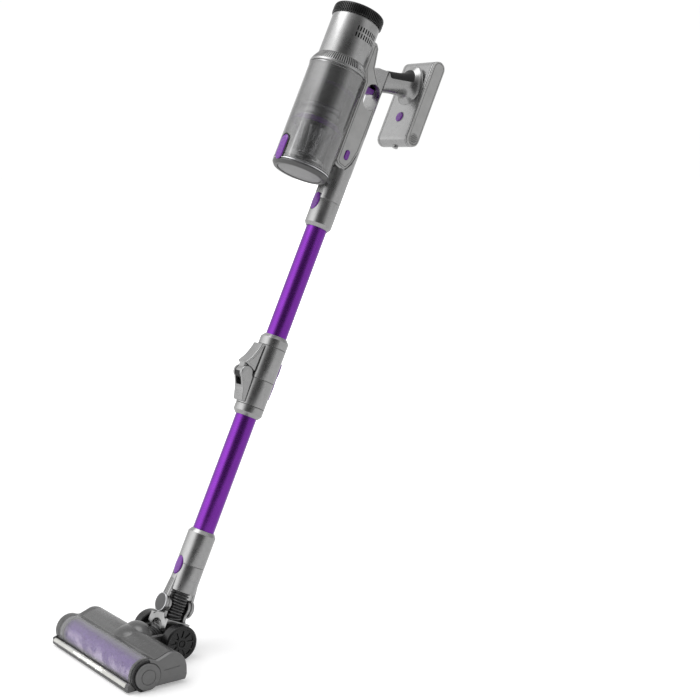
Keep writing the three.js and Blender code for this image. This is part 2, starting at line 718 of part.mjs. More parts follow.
// ---------------------------------------------------------------- floor head
// The head's outline in (y, z): up its back, over the hump and round the roller to `toDeg`.
function headOutline(toDeg) {
  const shape = new THREE.Shape();
  shape.moveTo(-20, HEAD_FLOOR);
  shape.lineTo(-17, 12);
  shape.splineThru([
    new THREE.Vector2(-18, 30), new THREE.Vector2(-27, 45), new THREE.Vector2(-42, 50),
    new THREE.Vector2(-56, 46), new THREE.Vector2(-66, 43), new THREE.Vector2(-75, 45.8),
  ]);
  const from = THREE.MathUtils.degToRad(WINDOW_FROM + 1);
  shape.absarc(ROLLER_Y, ROLLER_Z, WINDOW_OUT, from, THREE.MathUtils.degToRad(toDeg), false);
  return shape;
}

function headProfile() {
  const shape = headOutline(112);
  shape.lineTo(-84, 30);
  shape.lineTo(-60, HEAD_FLOOR);
  return shape;
}

function buildHeadHousing() {
  const shell = slabX(headProfile(), HEAD_LEFT, HEAD_RIGHT, 10);
  const dome = new THREE.SphereGeometry(1, 20, 10);
  dome.scale(37, 31, 25);
  dome.translate(0, -41, 29);
  const domeTop = overlap(dome, block(-60, 60, -80, 20, 12, 70));
  const forkShape = new THREE.Shape();
  forkShape.moveTo(-30, 12);
  forkShape.lineTo(12, 17);
  forkShape.absarc(AXLE_Y, AXLE_Z, 12, THREE.MathUtils.degToRad(-120), THREE.MathUtils.degToRad(100), false);
  forkShape.lineTo(-30, 42);
  const forks = [slabX(forkShape, FORK_IN, FORK_OUT, 10), slabX(forkShape, -FORK_OUT, -FORK_IN, 10)];
  const rollerRoom = barX(WINDOW_IN - 0.3, HEAD_LEFT + 3, HEAD_RIGHT + 10, ROLLER_Y, ROLLER_Z, 28);
  const windowSeat = barX(WINDOW_OUT + GAP, HEAD_LEFT - 1, HEAD_RIGHT + 1, ROLLER_Y, ROLLER_Z, 48);
  const seatArea = slabX(outline([[-76.5, 0], [-140, 0], [-140, 80], [-76.5, 80]].reverse()), -200, 200);
  const motorRoom = block(HEAD_LEFT + 10, -40, -54, -23, 0, 41);
  const spareRoom = block(42, HEAD_RIGHT - 4, -54, -23, 0, 41);
  const suction = barY(15.2, -75, 12, 0, 26, 24);
  const shaftHole = barX(4, HEAD_LEFT - 5, HEAD_LEFT + 15, DRIVE_Y, DRIVE_Z);
  const rollerHole = barX(6, HEAD_LEFT - 5, HEAD_LEFT + 15, ROLLER_Y, ROLLER_Z);
  const stubHoles = barX(STUB_R + 0.1, -50, 50, AXLE_Y, AXLE_Z);
  return cut(
    join(shell, domeTop, ...forks),
    rollerRoom, overlap(windowSeat, seatArea), motorRoom, spareRoom, suction, shaftHole, rollerHole, stubHoles,
  );
}

function arcBand(inner, outer, fromDeg, toDeg) {
  const from = THREE.MathUtils.degToRad(fromDeg);
  const to = THREE.MathUtils.degToRad(toDeg);
  const shape = new THREE.Shape();
  shape.absarc(ROLLER_Y, ROLLER_Z, outer, from, to, false);
  shape.absarc(ROLLER_Y, ROLLER_Z, inner, to, from, true);
  return shape;
}

function buildWindow() {
  return slabX(arcBand(WINDOW_IN, WINDOW_OUT, WINDOW_FROM + 5, WINDOW_TO), HEAD_LEFT + 0.5, HEAD_RIGHT, 16);
}

function buildLip() {
  return slabX(outline([
    [-113.5, HEAD_FLOOR], [-105, HEAD_FLOOR], [-105, 9.6], [-107.5, 11.6], [-110.5, 12.2], [-113.5, 9.5],
  ]), COVER_LEFT + 1, HEAD_RIGHT);
}

function buildSole() {
  const plate = block(HEAD_LEFT, HEAD_RIGHT, -113, -21, 1.5, HEAD_FLOOR - GAP);
  const mouth = block(HEAD_LEFT + 3, HEAD_RIGHT - 4, -101, -64, 0, 6);
  const skids = [-75, 0, 75].map((x) => block(x - 18, x + 18, SKID_Y - 4, SKID_Y + 4, 0, 2));
  return join(cut(plate, mouth), ...skids);
}

function buildEndCover(side) {
  if (side < 0) {
    const cap = slabX(headOutline(225), COVER_LEFT, HEAD_LEFT - GAP, 12);
    const beltRoom = slabX(beltOutline(5), HEAD_LEFT - 7.5, HEAD_LEFT + 5, 12);
    return cut(cap, beltRoom);
  }
  const cap = slabX(headOutline(225), HEAD_RIGHT + GAP, COVER_RIGHT, 12);
  return cut(cap, barX(KNOB_R + 0.9, HEAD_RIGHT - 5, COVER_RIGHT + 5, ROLLER_Y, ROLLER_Z, 32));
}

function buildKnob() {
  return join(
    barX(12, HEAD_RIGHT - 4.5, HEAD_RIGHT + 1, ROLLER_Y, ROLLER_Z, 20),
    barX(KNOB_R, HEAD_RIGHT + GAP, COVER_RIGHT + 1.5, ROLLER_Y, ROLLER_Z, 28),
    barX(15, COVER_RIGHT, COVER_RIGHT + 3, ROLLER_Y, ROLLER_Z, 32),
  );
}

// The outline of a belt round both pulleys, `extra` outside their rims.
function beltOutline(extra) {
  const reach = Math.hypot(DRIVE_Y - ROLLER_Y, DRIVE_Z - ROLLER_Z);
  const tilt = Math.atan2(DRIVE_Z - ROLLER_Z, DRIVE_Y - ROLLER_Y);
  const spread = Math.acos((ROLLER_PULLEY_R - MOTOR_PULLEY_R) / reach);
  const shape = new THREE.Shape();
  shape.absarc(DRIVE_Y, DRIVE_Z, MOTOR_PULLEY_R + extra, tilt - spread, tilt + spread, false);
  shape.absarc(ROLLER_Y, ROLLER_Z, ROLLER_PULLEY_R + extra, tilt + spread, tilt - spread + 2 * Math.PI, false);
  return shape;
}

function buildBelt() {
  const loop = beltOutline(GAP + BELT_T);
  loop.holes.push(new THREE.Path(beltOutline(GAP).getPoints(12).reverse()));
  return slabX(loop, HEAD_LEFT - 6, HEAD_LEFT - 1, 12);
}

function buildRollerMotor() {
  return join(
    barX(13, HEAD_LEFT + 14, -46, DRIVE_Y, DRIVE_Z, 28),
    barX(5, -47, -42, DRIVE_Y, DRIVE_Z),
  );
}

function buildMotorPulley() {
  return join(
    barX(MOTOR_PULLEY_R, HEAD_LEFT - 6, HEAD_LEFT - 1, DRIVE_Y, DRIVE_Z, 24),
    barX(3, HEAD_LEFT - 2, HEAD_LEFT + 13.6, DRIVE_Y, DRIVE_Z, 16),
  );
}

function buildRoller() {
  return join(
    barX(ROLLER_R, HEAD_LEFT + 4, HEAD_RIGHT - 5, ROLLER_Y, ROLLER_Z, 28),
    barX(5, HEAD_LEFT - 2, HEAD_LEFT + 6, ROLLER_Y, ROLLER_Z),
    barX(ROLLER_PULLEY_R, HEAD_LEFT - 6, HEAD_LEFT - 1, ROLLER_Y, ROLLER_Z, 32),
  );
}

function buildWheel(side) {
  const profile = [
    [STUB_R + GAP, WHEEL_IN], [WHEEL_R - 2, WHEEL_IN], [WHEEL_R, WHEEL_IN + 2], [WHEEL_R, WHEEL_OUT - 2.5],
    [WHEEL_R - 2.5, WHEEL_OUT], [22, WHEEL_OUT], [21, WHEEL_OUT - 3], [9, WHEEL_OUT - 3],
    [8, WHEEL_OUT - 1], [STUB_R + GAP, WHEEL_OUT - 1], [STUB_R + GAP, WHEEL_IN],
  ];
  const wheel = turned(profile, 28);
  wheel.rotateY(side * Math.PI / 2);
  wheel.translate(0, AXLE_Y, AXLE_Z);
  return wheel;
}

function buildAxle(side) {
  const [x0, x1] = side > 0 ? [19.5, WHEEL_OUT - 2] : [-WHEEL_OUT + 2, -19.5];
  return barX(STUB_R, x0, x1, AXLE_Y, AXLE_Z);
}

// ---------------------------------------------------------------- assembly
place(wand, 'duct_housing', buildDuct(), gunmetal);
place(wand, 'side_panel_right', buildPanel(1), lightGrey);
place(wand, 'side_panel_left', buildPanel(-1), lightGrey);
place(wand, 'handle_arm', buildHandle(), gunmetal);
place(wand, 'grip_pad', buildPad(), blackRubber);
place(wand, 'motor_housing', buildMotorHousing(), gunmetal);
place(wand, 'ribbed_skirt', buildSkirt(), gunmetal);
place(wand, 'suction_motor', buildSuctionMotor(), steel);
place(wand, 'impeller', buildImpeller(), brightMetal);
place(wand, 'control_board', block(-13, 13, -14, -12.4, 978, 1010), boardGreen);
place(wand, 'trigger', buildTrigger(), purplePlastic);
place(wand, 'trigger_spring', buildTriggerSpring(), steel);
place(wand, 'cap_ring', buildCapRing(), blackPlastic);
place(wand, 'exhaust_filter', ring(36.5, 20, MOTOR_TOP + 1.5, CAP_TOP - 5.4, 32, BIN_Y), filterWhite);
place(wand, 'filter_cover', buildFilterCover(), gunmetal);

place(wand, 'dust_cup', buildCup(), smoke);
place(wand, 'cyclone_body', buildCyclone(), brightMetal);
place(wand, 'mesh_screen', buildScreen(), steel);
place(wand, 'bin_lid', buildLid(), gunmetal);
place(wand, 'lid_gasket', buildLidGasket(), blackRubber);
place(wand, 'bin_latch', buildLatch(), purplePlastic);
place(wand, 'bin_button', buildBinButton(), purplePlastic);

place(wand, 'battery_case', buildBatteryCase(), gunmetal);
place(wand, 'battery_cap_right', buildBatteryCap(1), lightGrey);
place(wand, 'battery_cap_left', buildBatteryCap(-1), lightGrey);
place(wand, 'cell_pack', buildCells(), cellGreen);
place(wand, 'battery_button', buildBatteryButton(), purplePlastic);

place(wand, 'upper_collar', buildUpperCollar(), gunmetal);
place(wand, 'upper_tube', ring(TUBE_R, TUBE_BORE_R, 467, WAND_SEAM - 7), purpleMetal);
place(wand, 'wand_button', releaseButton(UPPER_BUTTON_Z), purplePlastic);
place(wand, 'upper_joint_housing', buildUpperJoint(), gunmetal);
place(wand, 'fold_arm', buildFoldArm(), gunmetal);
place(wand, 'hinge_pin', barX(FOLD_PIN_R, -12.6, 12.6, FOLD_Y, FOLD_Z), steel);
place(wand, 'fold_hose', ring(16.6, 14.8, 402, 463, 24), blackRubber);
place(wand, 'fold_latch', buildFoldLatch(), purplePlastic);
place(wand, 'lower_joint_housing', buildLowerJoint(), gunmetal);
place(wand, 'fold_knuckle', buildKnuckle(), gunmetal);
place(wand, 'lower_tube', ring(TUBE_R, TUBE_BORE_R, 162.4, 399), purpleMetal);
place(wand, 'lower_socket', buildLowerSocket(), gunmetal);

place(wand, 'neck_tube', buildNeck(), gunmetal);
place(wand, 'head_button', releaseButton(LOWER_BUTTON_Z), purplePlastic);
place(wand, 'neck_yoke', buildYoke(), gunmetal);
place(wand, 'swivel_cap', buildSwivelCap(), blackPlastic);
place(wand, 'neck_hose', buildNeckHose(), blackRubber);

place(vacuum, 'head_housing', buildHeadHousing(), gunmetal);
place(vacuum, 'roller_window', buildWindow(), clear);
place(vacuum, 'front_lip', buildLip(), lightGrey);
place(vacuum, 'led_board', block(-35, 35, -104.6, -103, 5, 9.5), boardGreen);
place(vacuum, 'sole_plate', buildSole(), blackPlastic);
place(vacuum, 'end_cover_left', buildEndCover(-1), gunmetal);
place(vacuum, 'end_cover_right', buildEndCover(1), gunmetal);
place(vacuum, 'end_knob', buildKnob(), gunmetal);
place(vacuum, 'roller_motor', buildRollerMotor(), steel);
place(vacuum, 'motor_pulley', buildMotorPulley(), steel);
place(vacuum, 'drive_belt', buildBelt(), blackRubber);
place(vacuum, 'roller', buildRoller(), plush);
place(vacuum, 'wheel_right', buildWheel(1), blackPlastic);
place(vacuum, 'wheel_left', buildWheel(-1), blackPlastic);
place(vacuum, 'axle_right', buildAxle(1), steel);
place(vacuum, 'axle_left', buildAxle(-1), steel);

export default vacuum;
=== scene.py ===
"""Looks for the cordless stick vacuum: every visible sub-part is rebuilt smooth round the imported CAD."""
import json
import math

import bmesh
import bpy
from mathutils import Matrix, Vector, noise


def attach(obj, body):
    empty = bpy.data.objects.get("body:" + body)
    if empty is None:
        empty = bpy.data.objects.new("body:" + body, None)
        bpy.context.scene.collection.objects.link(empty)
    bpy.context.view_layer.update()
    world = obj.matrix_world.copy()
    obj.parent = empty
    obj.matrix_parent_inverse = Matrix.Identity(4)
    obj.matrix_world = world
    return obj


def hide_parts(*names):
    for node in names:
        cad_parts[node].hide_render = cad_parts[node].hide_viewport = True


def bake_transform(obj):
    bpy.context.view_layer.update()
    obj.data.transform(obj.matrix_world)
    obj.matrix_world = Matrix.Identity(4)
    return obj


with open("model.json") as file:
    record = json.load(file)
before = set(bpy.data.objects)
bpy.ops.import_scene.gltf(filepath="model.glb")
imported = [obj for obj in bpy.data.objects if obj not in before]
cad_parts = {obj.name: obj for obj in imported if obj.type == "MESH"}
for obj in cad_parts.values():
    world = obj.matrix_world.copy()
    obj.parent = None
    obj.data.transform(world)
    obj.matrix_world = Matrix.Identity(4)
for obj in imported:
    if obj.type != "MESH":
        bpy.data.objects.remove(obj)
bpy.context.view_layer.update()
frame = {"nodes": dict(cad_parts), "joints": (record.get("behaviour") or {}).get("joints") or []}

# ---------------------------------------------------------------- frames
# Lengths below are in millimetres, in one of two frames taken from the joints:
# HEAD keeps the row frame's directions, with its origin on the floor AXLE_Y in front of the head's axle.
# WAND has its origin on that axle, with Z up the wand and Y towards its back.
MM = 0.001
joints = {joint["name"]: joint for joint in frame["joints"]}
AXLE = Vector(joints["pitch"]["pos_m"])
BACK = Vector(joints["swivel"]["axis"])
SIDE = Vector((1, 0, 0))
UP = SIDE.cross(BACK)
AXLE_Y = 18.4
AXLE_Z = 27.5
WAND = Matrix.Translation(AXLE) @ Matrix((SIDE, BACK, UP)).transposed().to_4x4() @ Matrix.Scale(MM, 4)
HEAD = Matrix.Translation(AXLE - Vector((0, AXLE_Y, AXLE_Z)) * MM) @ Matrix.Scale(MM, 4)
HEAD_BODIES = ("floor_head", "roller", "end_knob", "wheel_right", "wheel_left")

# ---------------------------------------------------------------- sizes
SOCKET_R = 22.9
TUBE_R = 17.5
PLUG_R = 19.8
NECK_BOTTOM = 72
HEAD_SEAM = 115.2
SOCKET_TOP = 167.3
LOWER_JOINT_BOTTOM = 374.5
FOLD_SEAM = 431
UPPER_JOINT_TOP = 500.8
JOINT_R = 24
COLLAR_BOTTOM = 704.5
WAND_SEAM = 745.6
PLUG_LENGTH = 42
SHOULDER = 6
FOLD_Y, FOLD_Z = -36, 433
KNUCKLE_HALF = 13
TONGUE_HALF = 7.2
SWIVEL_Z = 46.9
CHEEK_OUT = 27.3
EAR_IN, EAR_OUT = 16, 21.5
HOSE_R = 14.5
BIN_Y = -69.9
BIN_R = 48.4
LID_BOTTOM = 765.3
CUP_BOTTOM = 776.2
CUP_TOP = 946.8
SKIRT_TOP = 966
MOTOR_R = 40.6
MOTOR_TOP = 1038.4
CAP_R = 43
CAP_TOP = 1056
SPINE_HALF = 19.7
SPINE_TOP = 1020
PANEL_T = 1.7
HOLE_Y, HOLE_LOW, HOLE_HIGH, HOLE_R = -3, 927, 942, 15
HANDLE_START, HANDLE_END = (0, 969), (78, 997)
BATTERY_FRONT, BATTERY_BACK, BATTERY_BOTTOM, BATTERY_TOP = 79, 105.3, 891, 1047
BATTERY_HALF = 41.5
BATTERY_CAP_T = 3.7
BATTERY_BUTTON_Z = 940
BUTTON_HALF_X, BUTTON_HALF_Z = 9.8, 15.3
UPPER_BUTTON_Z, LOWER_BUTTON_Z = 740, 110.4
ROLLER_Y, ROLLER_Z, ROLLER_R = -82.7, 22, 21.3
WINDOW_IN, WINDOW_OUT = 23.2, 25
WINDOW_FROM, WINDOW_TO = 77, 205
HEAD_LEFT, HEAD_RIGHT = -118, 124
COVER_LEFT, COVER_RIGHT = -132, 133
KNOB_R = 20.3
HEAD_FLOOR = 4.3
WHEEL_R, WHEEL_IN, WHEEL_OUT = 27.5, 36, 56
FORK_IN, FORK_OUT = 27.5, 35.5
LAMPS_X = (-38, -7, 24)
BIN_BUTTON = (-9.5, 823, 831)

# Where round parts turn, as options of turn, ring and rod.
ON_BIN = {"at": (0, BIN_Y)}
ON_FOLD = {"axis": "x", "at": (FOLD_Y, FOLD_Z)}
ON_SWIVEL = {"axis": "y", "at": (0, SWIVEL_Z)}
ON_ROLLER = {"axis": "x", "at": (ROLLER_Y, ROLLER_Z)}
ON_AXLE = {"axis": "x", "at": (AXLE_Y, AXLE_Z)}
ON_BATTERY_BUTTON = {"axis": "y", "at": (0, BATTERY_BUTTON_Z)}


# ---------------------------------------------------------------- outlines
def fillet(points, radius=1.0, steps=5):
    """A closed outline with its corners rounded; a point may carry its own radius as a third number."""
    made = []
    for i, point in enumerate(points):
        own = point[2] if len(point) > 2 else radius
        before, here, after = (Vector(p[:2]) for p in (points[i - 1], point, points[(i + 1) % len(points)]))
        u, v = before - here, after - here
        if own <= 0 or u.length < 1e-6 or v.length < 1e-6 or u.angle(v) > math.pi - 0.03:
            made.append(tuple(here))
            continue
        half = u.angle(v) / 2
        reach = min(own / math.tan(half), 0.49 * u.length, 0.49 * v.length)
        round_r = reach * math.tan(half)
        u.normalize()
        v.normalize()
        centre = here + (u + v).normalized() * (round_r / math.sin(half))
        start, end = here + u * reach - centre, here + v * reach - centre
        first = math.atan2(start.y, start.x)
        sweep = (math.atan2(end.y, end.x) - first + math.pi) % (2 * math.pi) - math.pi
        for k in range(steps + 1):
            angle = first + sweep * k / steps
            made.append((centre.x + round_r * math.cos(angle), centre.y + round_r * math.sin(angle)))
    return made


def arc(a, b, radius, from_deg, to_deg, steps=24):
    angles = [math.radians(from_deg + (to_deg - from_deg) * k / steps) for k in range(steps + 1)]
    return [(a + radius * math.cos(t), b + radius * math.sin(t)) for t in angles]


def stadium(a, low, high, radius, steps=20):
    return arc(a, high, radius, 0, 180, steps) + arc(a, low, radius, 180, 360, steps)


def oval(a, b, half_a, half_b, steps=64):
    angles = [2 * math.pi * k / steps for k in range(steps)]
    return [(a + half_a * math.cos(t), b + half_b * math.sin(t)) for t in angles]


def spline(points, steps=8):
    """Points on a smooth curve through the given ones, the last one left out."""
    ends = [points[0]] + list(points) + [points[-1]]
    made = []
    for p0, p1, p2, p3 in zip(ends, ends[1:], ends[2:], ends[3:]):
        for k in range(steps):
            t = k / steps
            made.append(tuple(
                0.5 * (2 * b + (c - a) * t + (2 * a - 5 * b + 4 * c - d) * t * t
                       + (3 * b - a - 3 * c + d) * t ** 3)
                for a, b, c, d in zip(p0, p1, p2, p3)
            ))
    return made


def shrink(outline, inset):
    """The outline moved inwards by inset, point by point."""
    area = sum(a[0] * b[1] - b[0] * a[1] for a, b in zip(outline, outline[1:] + outline[:1]))
    sign = 1 if area > 0 else -1
    made = []
    for i, here in enumerate(outline):
        before, after = outline[i - 1], outline[(i + 1) % len(outline)]
        u = Vector((here[0] - before[0], here[1] - before[1]))
        v = Vector((after[0] - here[0], after[1] - here[1]))
        if u.length < 1e-9 or v.length < 1e-9:
            u = v = u if u.length > v.length else v
        u.normalize()
        v.normalize()
        normal = Vector((-(u.y + v.y), u.x + v.x)) * sign
        normal.normalize()
        stretch = min(1.6, 1 / max(0.2, normal.dot(Vector((-u.y, u.x)) * sign)))
        made.append((here[0] + normal.x * inset * stretch, here[1] + normal.y * inset * stretch))
    return made


# ---------------------------------------------------------------- meshes
def to_object(verts, faces):
    mesh = bpy.data.meshes.new("work")
    mesh.from_pydata(verts, [], faces)
    shape = bmesh.new()
    shape.from_mesh(mesh)
    bmesh.ops.remove_doubles(shape, verts=shape.verts, dist=1e-5)
    bmesh.ops.recalc_face_normals(shape, faces=shape.faces)
    shape.to_mesh(mesh)
    shape.free()
    made = bpy.data.objects.new("work", mesh)
    bpy.context.scene.collection.objects.link(made)
    return made


AXES = {
    "z": lambda r, t, h, at: (at[0] + r * math.cos(t), at[1] + r * math.sin(t), h),
    "x": lambda r, t, h, at: (h, at[0] + r * math.cos(t), at[1] + r * math.sin(t)),
    "y": lambda r, t, h, at: (at[0] + r * math.cos(t), h, at[1] + r * math.sin(t)),
}


def turn(profile, axis="z", at=(0, 0), segments=96, wave=None):
    """A closed (radius, height) profile turned about an axis.

    wave(angle, radius, height) may change the radius.
    """
    verts, rows = [], []
    for r, h in profile:
        if r < 1e-6:
            rows.append([len(verts)] * segments)
            verts.append(AXES[axis](0, 0, h, at))
            continue
        rows.append(list(range(len(verts), len(verts) + segments)))
        for k in range(segments):
            t = 2 * math.pi * k / segments
            verts.append(AXES[axis](wave(t, r, h) if wave else r, t, h, at))
    faces = []
    for a, b in zip(rows, rows[1:] + rows[:1]):
        for k in range(segments):
            n = (k + 1) % segments
            corners = list(dict.fromkeys((a[k], a[n], b[n], b[k])))
            if len(corners) > 2:
                faces.append(corners)
    return to_object(verts, faces)


def ring(outer, inner, low, high, edge=0.6, **options):
    return turn(fillet([(inner, low), (outer, low), (outer, high), (inner, high)], edge, 3), **options)


def rod(radius, low, high, edge=0.5, **options):
    return turn(fillet([(0, low, 0), (radius, low), (radius, high), (0, high, 0)], edge, 3), **options)


PLANES = {
    "yz": lambda a, b, h: (h, a, b),
    "xz": lambda a, b, h: (a, h, b),
    "xy": lambda a, b, h: (a, b, h),
}


def slab(outline, low, high, plane="yz", edge=0.0, steps=3):
    """An outline given thickness, with its two rims rounded by edge."""
    layers = [(low, 0.0), (high, 0.0)]
    if edge:
        turns = [math.pi / 2 * k / steps for k in range(steps + 1)]
        layers = [(low + edge * (1 - math.sin(t)), edge * (1 - math.cos(t))) for t in reversed(turns)]
        layers += [(high - edge * (1 - math.sin(t)), edge * (1 - math.cos(t))) for t in turns]
    verts, faces = [], []
    count = len(outline)
    for height, inset in layers:
        verts += [PLANES[plane](a, b, height) for a, b in (shrink(outline, inset) if inset else outline)]
    for row in range(len(layers) - 1):
        for k in range(count):
            n = (k + 1) % count
            faces.append((row * count + k, row * count + n, (row + 1) * count + n, (row + 1) * count + k))
    faces.append(tuple(range(count)))
    faces.append(tuple(range((len(layers) - 1) * count, len(layers) * count)))
    return to_object(verts, faces)


def block(x0, x1, y0, y1, z0, z1, edge=0.0):
    outline = [(y0, z0), (y1, z0), (y1, z1), (y0, z1)]
    return slab(fillet(outline, edge, 3) if edge else outline, x0, x1, edge=edge)


def loft(sections, capped=True):
    """Skins a list of equally long rings of points."""
    count = len(sections[0])
    verts = [tuple(p) for section in sections for p in section]
    faces = []
    for row in range(len(sections) - 1):
        for k in range(count):
            n = (k + 1) % count
            faces.append((row * count + k, row * count + n, (row + 1) * count + n, (row + 1) * count + k))
    if capped:
        faces.append(tuple(range(count)))
        faces.append(tuple(range((len(sections) - 1) * count, len(sections) * count)))
    return to_object(verts, faces)


def bake(target):
    """Applies a piece's modifiers to its mesh."""
    graph = bpy.context.evaluated_depsgraph_get()
    mesh = bpy.data.meshes.new_from_object(target.evaluated_get(graph))
    target.modifiers.clear()
    target.data = mesh
    return target


def combine(operation, base, tools):
    for tool in tools:
        change = base.modifiers.new("shape", "BOOLEAN")
        change.operation = operation
        change.solver = "MANIFOLD"
        change.object = tool
    bpy.context.view_layer.update()
    bake(base)
    for tool in tools:
        bpy.data.objects.remove(tool)
    return base


def carve(base, *tools):
    return combine("DIFFERENCE", base, tools)


def fuse(base, *others):
    return combine("UNION", base, others)


def keep(base, region):
    return combine("INTERSECT", base, [region])


def soften(target, width):
    change = target.modifiers.new("edges", "BEVEL")
    change.width = width
    change.segments = 2
    change.limit_method = "ANGLE"
    change.angle_limit = math.radians(35)
    return bake(target)


def group(base, *others):
    """Several closed shells as one piece."""
    shape = bmesh.new()
    for item in (base, *others):
        shape.from_mesh(item.data)
    shape.to_mesh(base.data)
    shape.free()
    for item in others:
        bpy.data.objects.remove(item)
    return base


def moved(target, matrix):
    target.data.transform(matrix)
    return target


def swung(target, angle):
    """Turns a shape about the wand's direction, then moves it onto the bin's axis."""
    return moved(target, Matrix.Translation((0, BIN_Y, 0)) @ Matrix.Rotation(angle, 4, "Z"))


def on_side(side, low, high):
    """A span across the width, mirrored for the left side."""
    return (low, high) if side > 0 else (-high, -low)


def finish_piece(name, target, materials, nodes, space, sharp):
    target.name = target.data.name = name
    target.data.transform(space)
    for polygon in target.data.polygons:
        polygon.use_smooth = True
    target.data.set_sharp_from_angle(angle=math.radians(sharp))
    for material in materials:
        target.data.materials.append(material)
    if nodes:
        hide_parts(*nodes)


def publish(name, target, body, material, *nodes, sharp=32, slot=None):
    """Puts a finished shape into the row frame as a named piece that moves with one body."""
    target.data.materials.clear()
    space = HEAD if body in HEAD_BODIES else WAND
    slot = slot or next(key for key, members in SLOTS.items() if material in members)
    finish_piece(name, target, [material], nodes, space, sharp)
    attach(target, body)


def publish_bending(name, target, bodies, ends, material, *nodes):
    """A ribbed hose, put in the row frame with its transform baked in and attached to no body; bodies and
    ends are not used.
    """
    finish_piece(name, target, [material], nodes, WAND, 60)
    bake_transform(target)


# ---------------------------------------------------------------- materials
def add_node(nodes, kind, **inputs):
    """A new shader node with some of its inputs set."""
    node = nodes.new("ShaderNode" + kind)
    for name, value in inputs.items():
        node.inputs[name.replace("_", " ")].default_value = value
    return node


def colour_over(nodes, links, factor, base, over):
    """The base colour with one plain colour laid over it, as far as factor says."""
    mix = add_node(nodes, "Mix")
    mix.data_type = "RGBA"
    colours = [socket for socket in mix.inputs if socket.type == "RGBA"]
    colours[1].default_value = over
    links.new(factor, mix.inputs["Factor"])
    links.new(base, colours[0])
    return next(socket for socket in mix.outputs if socket.type == "RGBA")


class Surface:
    """A Principled material; its colour, roughness and bump vary over the object's own coordinates."""

    def __init__(self, name, colour, roughness, **sockets):
        self.material = bpy.data.materials.new(name)
        self.material.use_nodes = True
        self.nodes = self.material.node_tree.nodes
        self.links = self.material.node_tree.links
        self.shader = self.nodes["Principled BSDF"]
        self.coordinates = self.nodes.new("ShaderNodeTexCoord").outputs["Object"]
        self.colour = colour
        self.roughness = roughness
        self.bumps = None
        for socket, value in sockets.items():
            self.shader.inputs[socket.replace("_", " ")].default_value = value

    def noise(self, size, detail=3.0, stretch=None, tilt=0.0):
        """Noise with features of about size millimetres, stretched along the wand's axes if asked."""
        texture = add_node(self.nodes, "TexNoise", Scale=1 / (size * MM), Detail=detail)
        source = self.coordinates
        if stretch:
            place = add_node(self.nodes, "Mapping", Rotation=(tilt, 0, 0))
            self.links.new(source, place.inputs["Vector"])
            scale = add_node(self.nodes, "Mapping", Scale=stretch)
            self.links.new(place.outputs["Vector"], scale.inputs["Vector"])
            source = scale.outputs["Vector"]
        self.links.new(source, texture.inputs["Vector"])
        return texture.outputs["Fac"]

    def spread(self, source, low, high, start=0.35, stop=0.65):
        change = add_node(self.nodes, "MapRange", From_Min=start, From_Max=stop, To_Min=low, To_Max=high)
        self.links.new(source, change.inputs["Value"])
        return change.outputs["Result"]

    def combined(self, operation, first, second):
        change = add_node(self.nodes, "Math")
        change.operation = operation
        self.links.new(first, change.inputs[0])
        self.links.new(second, change.inputs[1])
        return change.outputs[0]

    def axis(self, name):
        split = add_node(self.nodes, "SeparateXYZ")
        self.links.new(self.coordinates, split.inputs["Vector"])
        return split.outputs[name]

    def vary_colour(self, source, amount=0.08, other=None):
        """Colour that runs between a darker and a lighter mix of the base colour."""
        ramp = self.nodes.new("ShaderNodeValToRGB")
        ramp.color_ramp.elements[0].position = 0.35
        ramp.color_ramp.elements[1].position = 0.65
        ramp.color_ramp.elements[0].color = [c * (1 - amount) for c in self.colour] + [1]
        ramp.color_ramp.elements[1].color = (other or [min(1, c * (1 + amount)) for c in self.colour]) + [1]
        self.links.new(source, ramp.inputs["Fac"])
        self.links.new(ramp.outputs["Color"], self.shader.inputs["Base Color"])
        return self

    def vary_roughness(self, source, amount=0.04):
        result = self.spread(source, self.roughness - amount, self.roughness + amount)
        self.links.new(result, self.shader.inputs["Roughness"])
        return self

    def bump(self, source, depth, strength):
        bump = add_node(self.nodes, "Bump", Distance=depth * MM, Strength=strength)
        self.links.new(source, bump.inputs["Height"])
        if self.bumps:
            self.links.new(self.bumps, bump.inputs["Normal"])
        self.bumps = bump.outputs["Normal"]
        self.links.new(self.bumps, self.shader.inputs["Normal"])
        return self

    def see_through(self, face, rim, frost_and_reflection_bands=()):
        """Clear facing the eye and denser towards the rim, as a moulded clear wall is.

        Each frost and reflection band is (axis, where it is clear, where it is dense, density), in metres; a
        band may be painted reflection as well as frosting.
        """
        facing = add_node(self.nodes, "LayerWeight", Blend=0.35)
        opacity = self.spread(facing.outputs["Facing"], face, rim, 0.0, 1.0)
        for axis, clear_at, dense_at, density in frost_and_reflection_bands:
            fade = self.spread(self.axis(axis), 0, density, clear_at, dense_at)
            opacity = self.combined("MAXIMUM", opacity, fade)
        self.links.new(opacity, self.shader.inputs["Alpha"])
        return self


LEAN = -math.atan2(UP.y, UP.z)


def coated(name, colour, roughness, metallic):
    made = Surface(name, colour, roughness, Metallic=metallic, Specular_IOR_Level=0.5)
    made.vary_colour(made.noise(7, 4), 0.03).vary_roughness(made.noise(12, 3), 0.02)
    return made.bump(made.noise(0.8, 2), 0.002, 0.15).material


def plastic(name, colour, roughness, grain=0.5, **sockets):
    made = Surface(name, colour, roughness, **sockets)
    made.vary_colour(made.noise(14, 4), 0.05).vary_roughness(made.noise(4, 3), 0.04)
    return made.bump(made.noise(grain, 2), 0.02, 0.3).material


def anodised(name, colour, roughness):
    made = Surface(name, colour, roughness, Metallic=0.92)
    streaks = made.noise(0.6, 2, stretch=(1, 1, 0.02), tilt=LEAN)
    made.vary_colour(made.noise(25, 3), 0.05).vary_roughness(streaks, 0.05)
    return made.bump(streaks, 0.008, 0.35).material


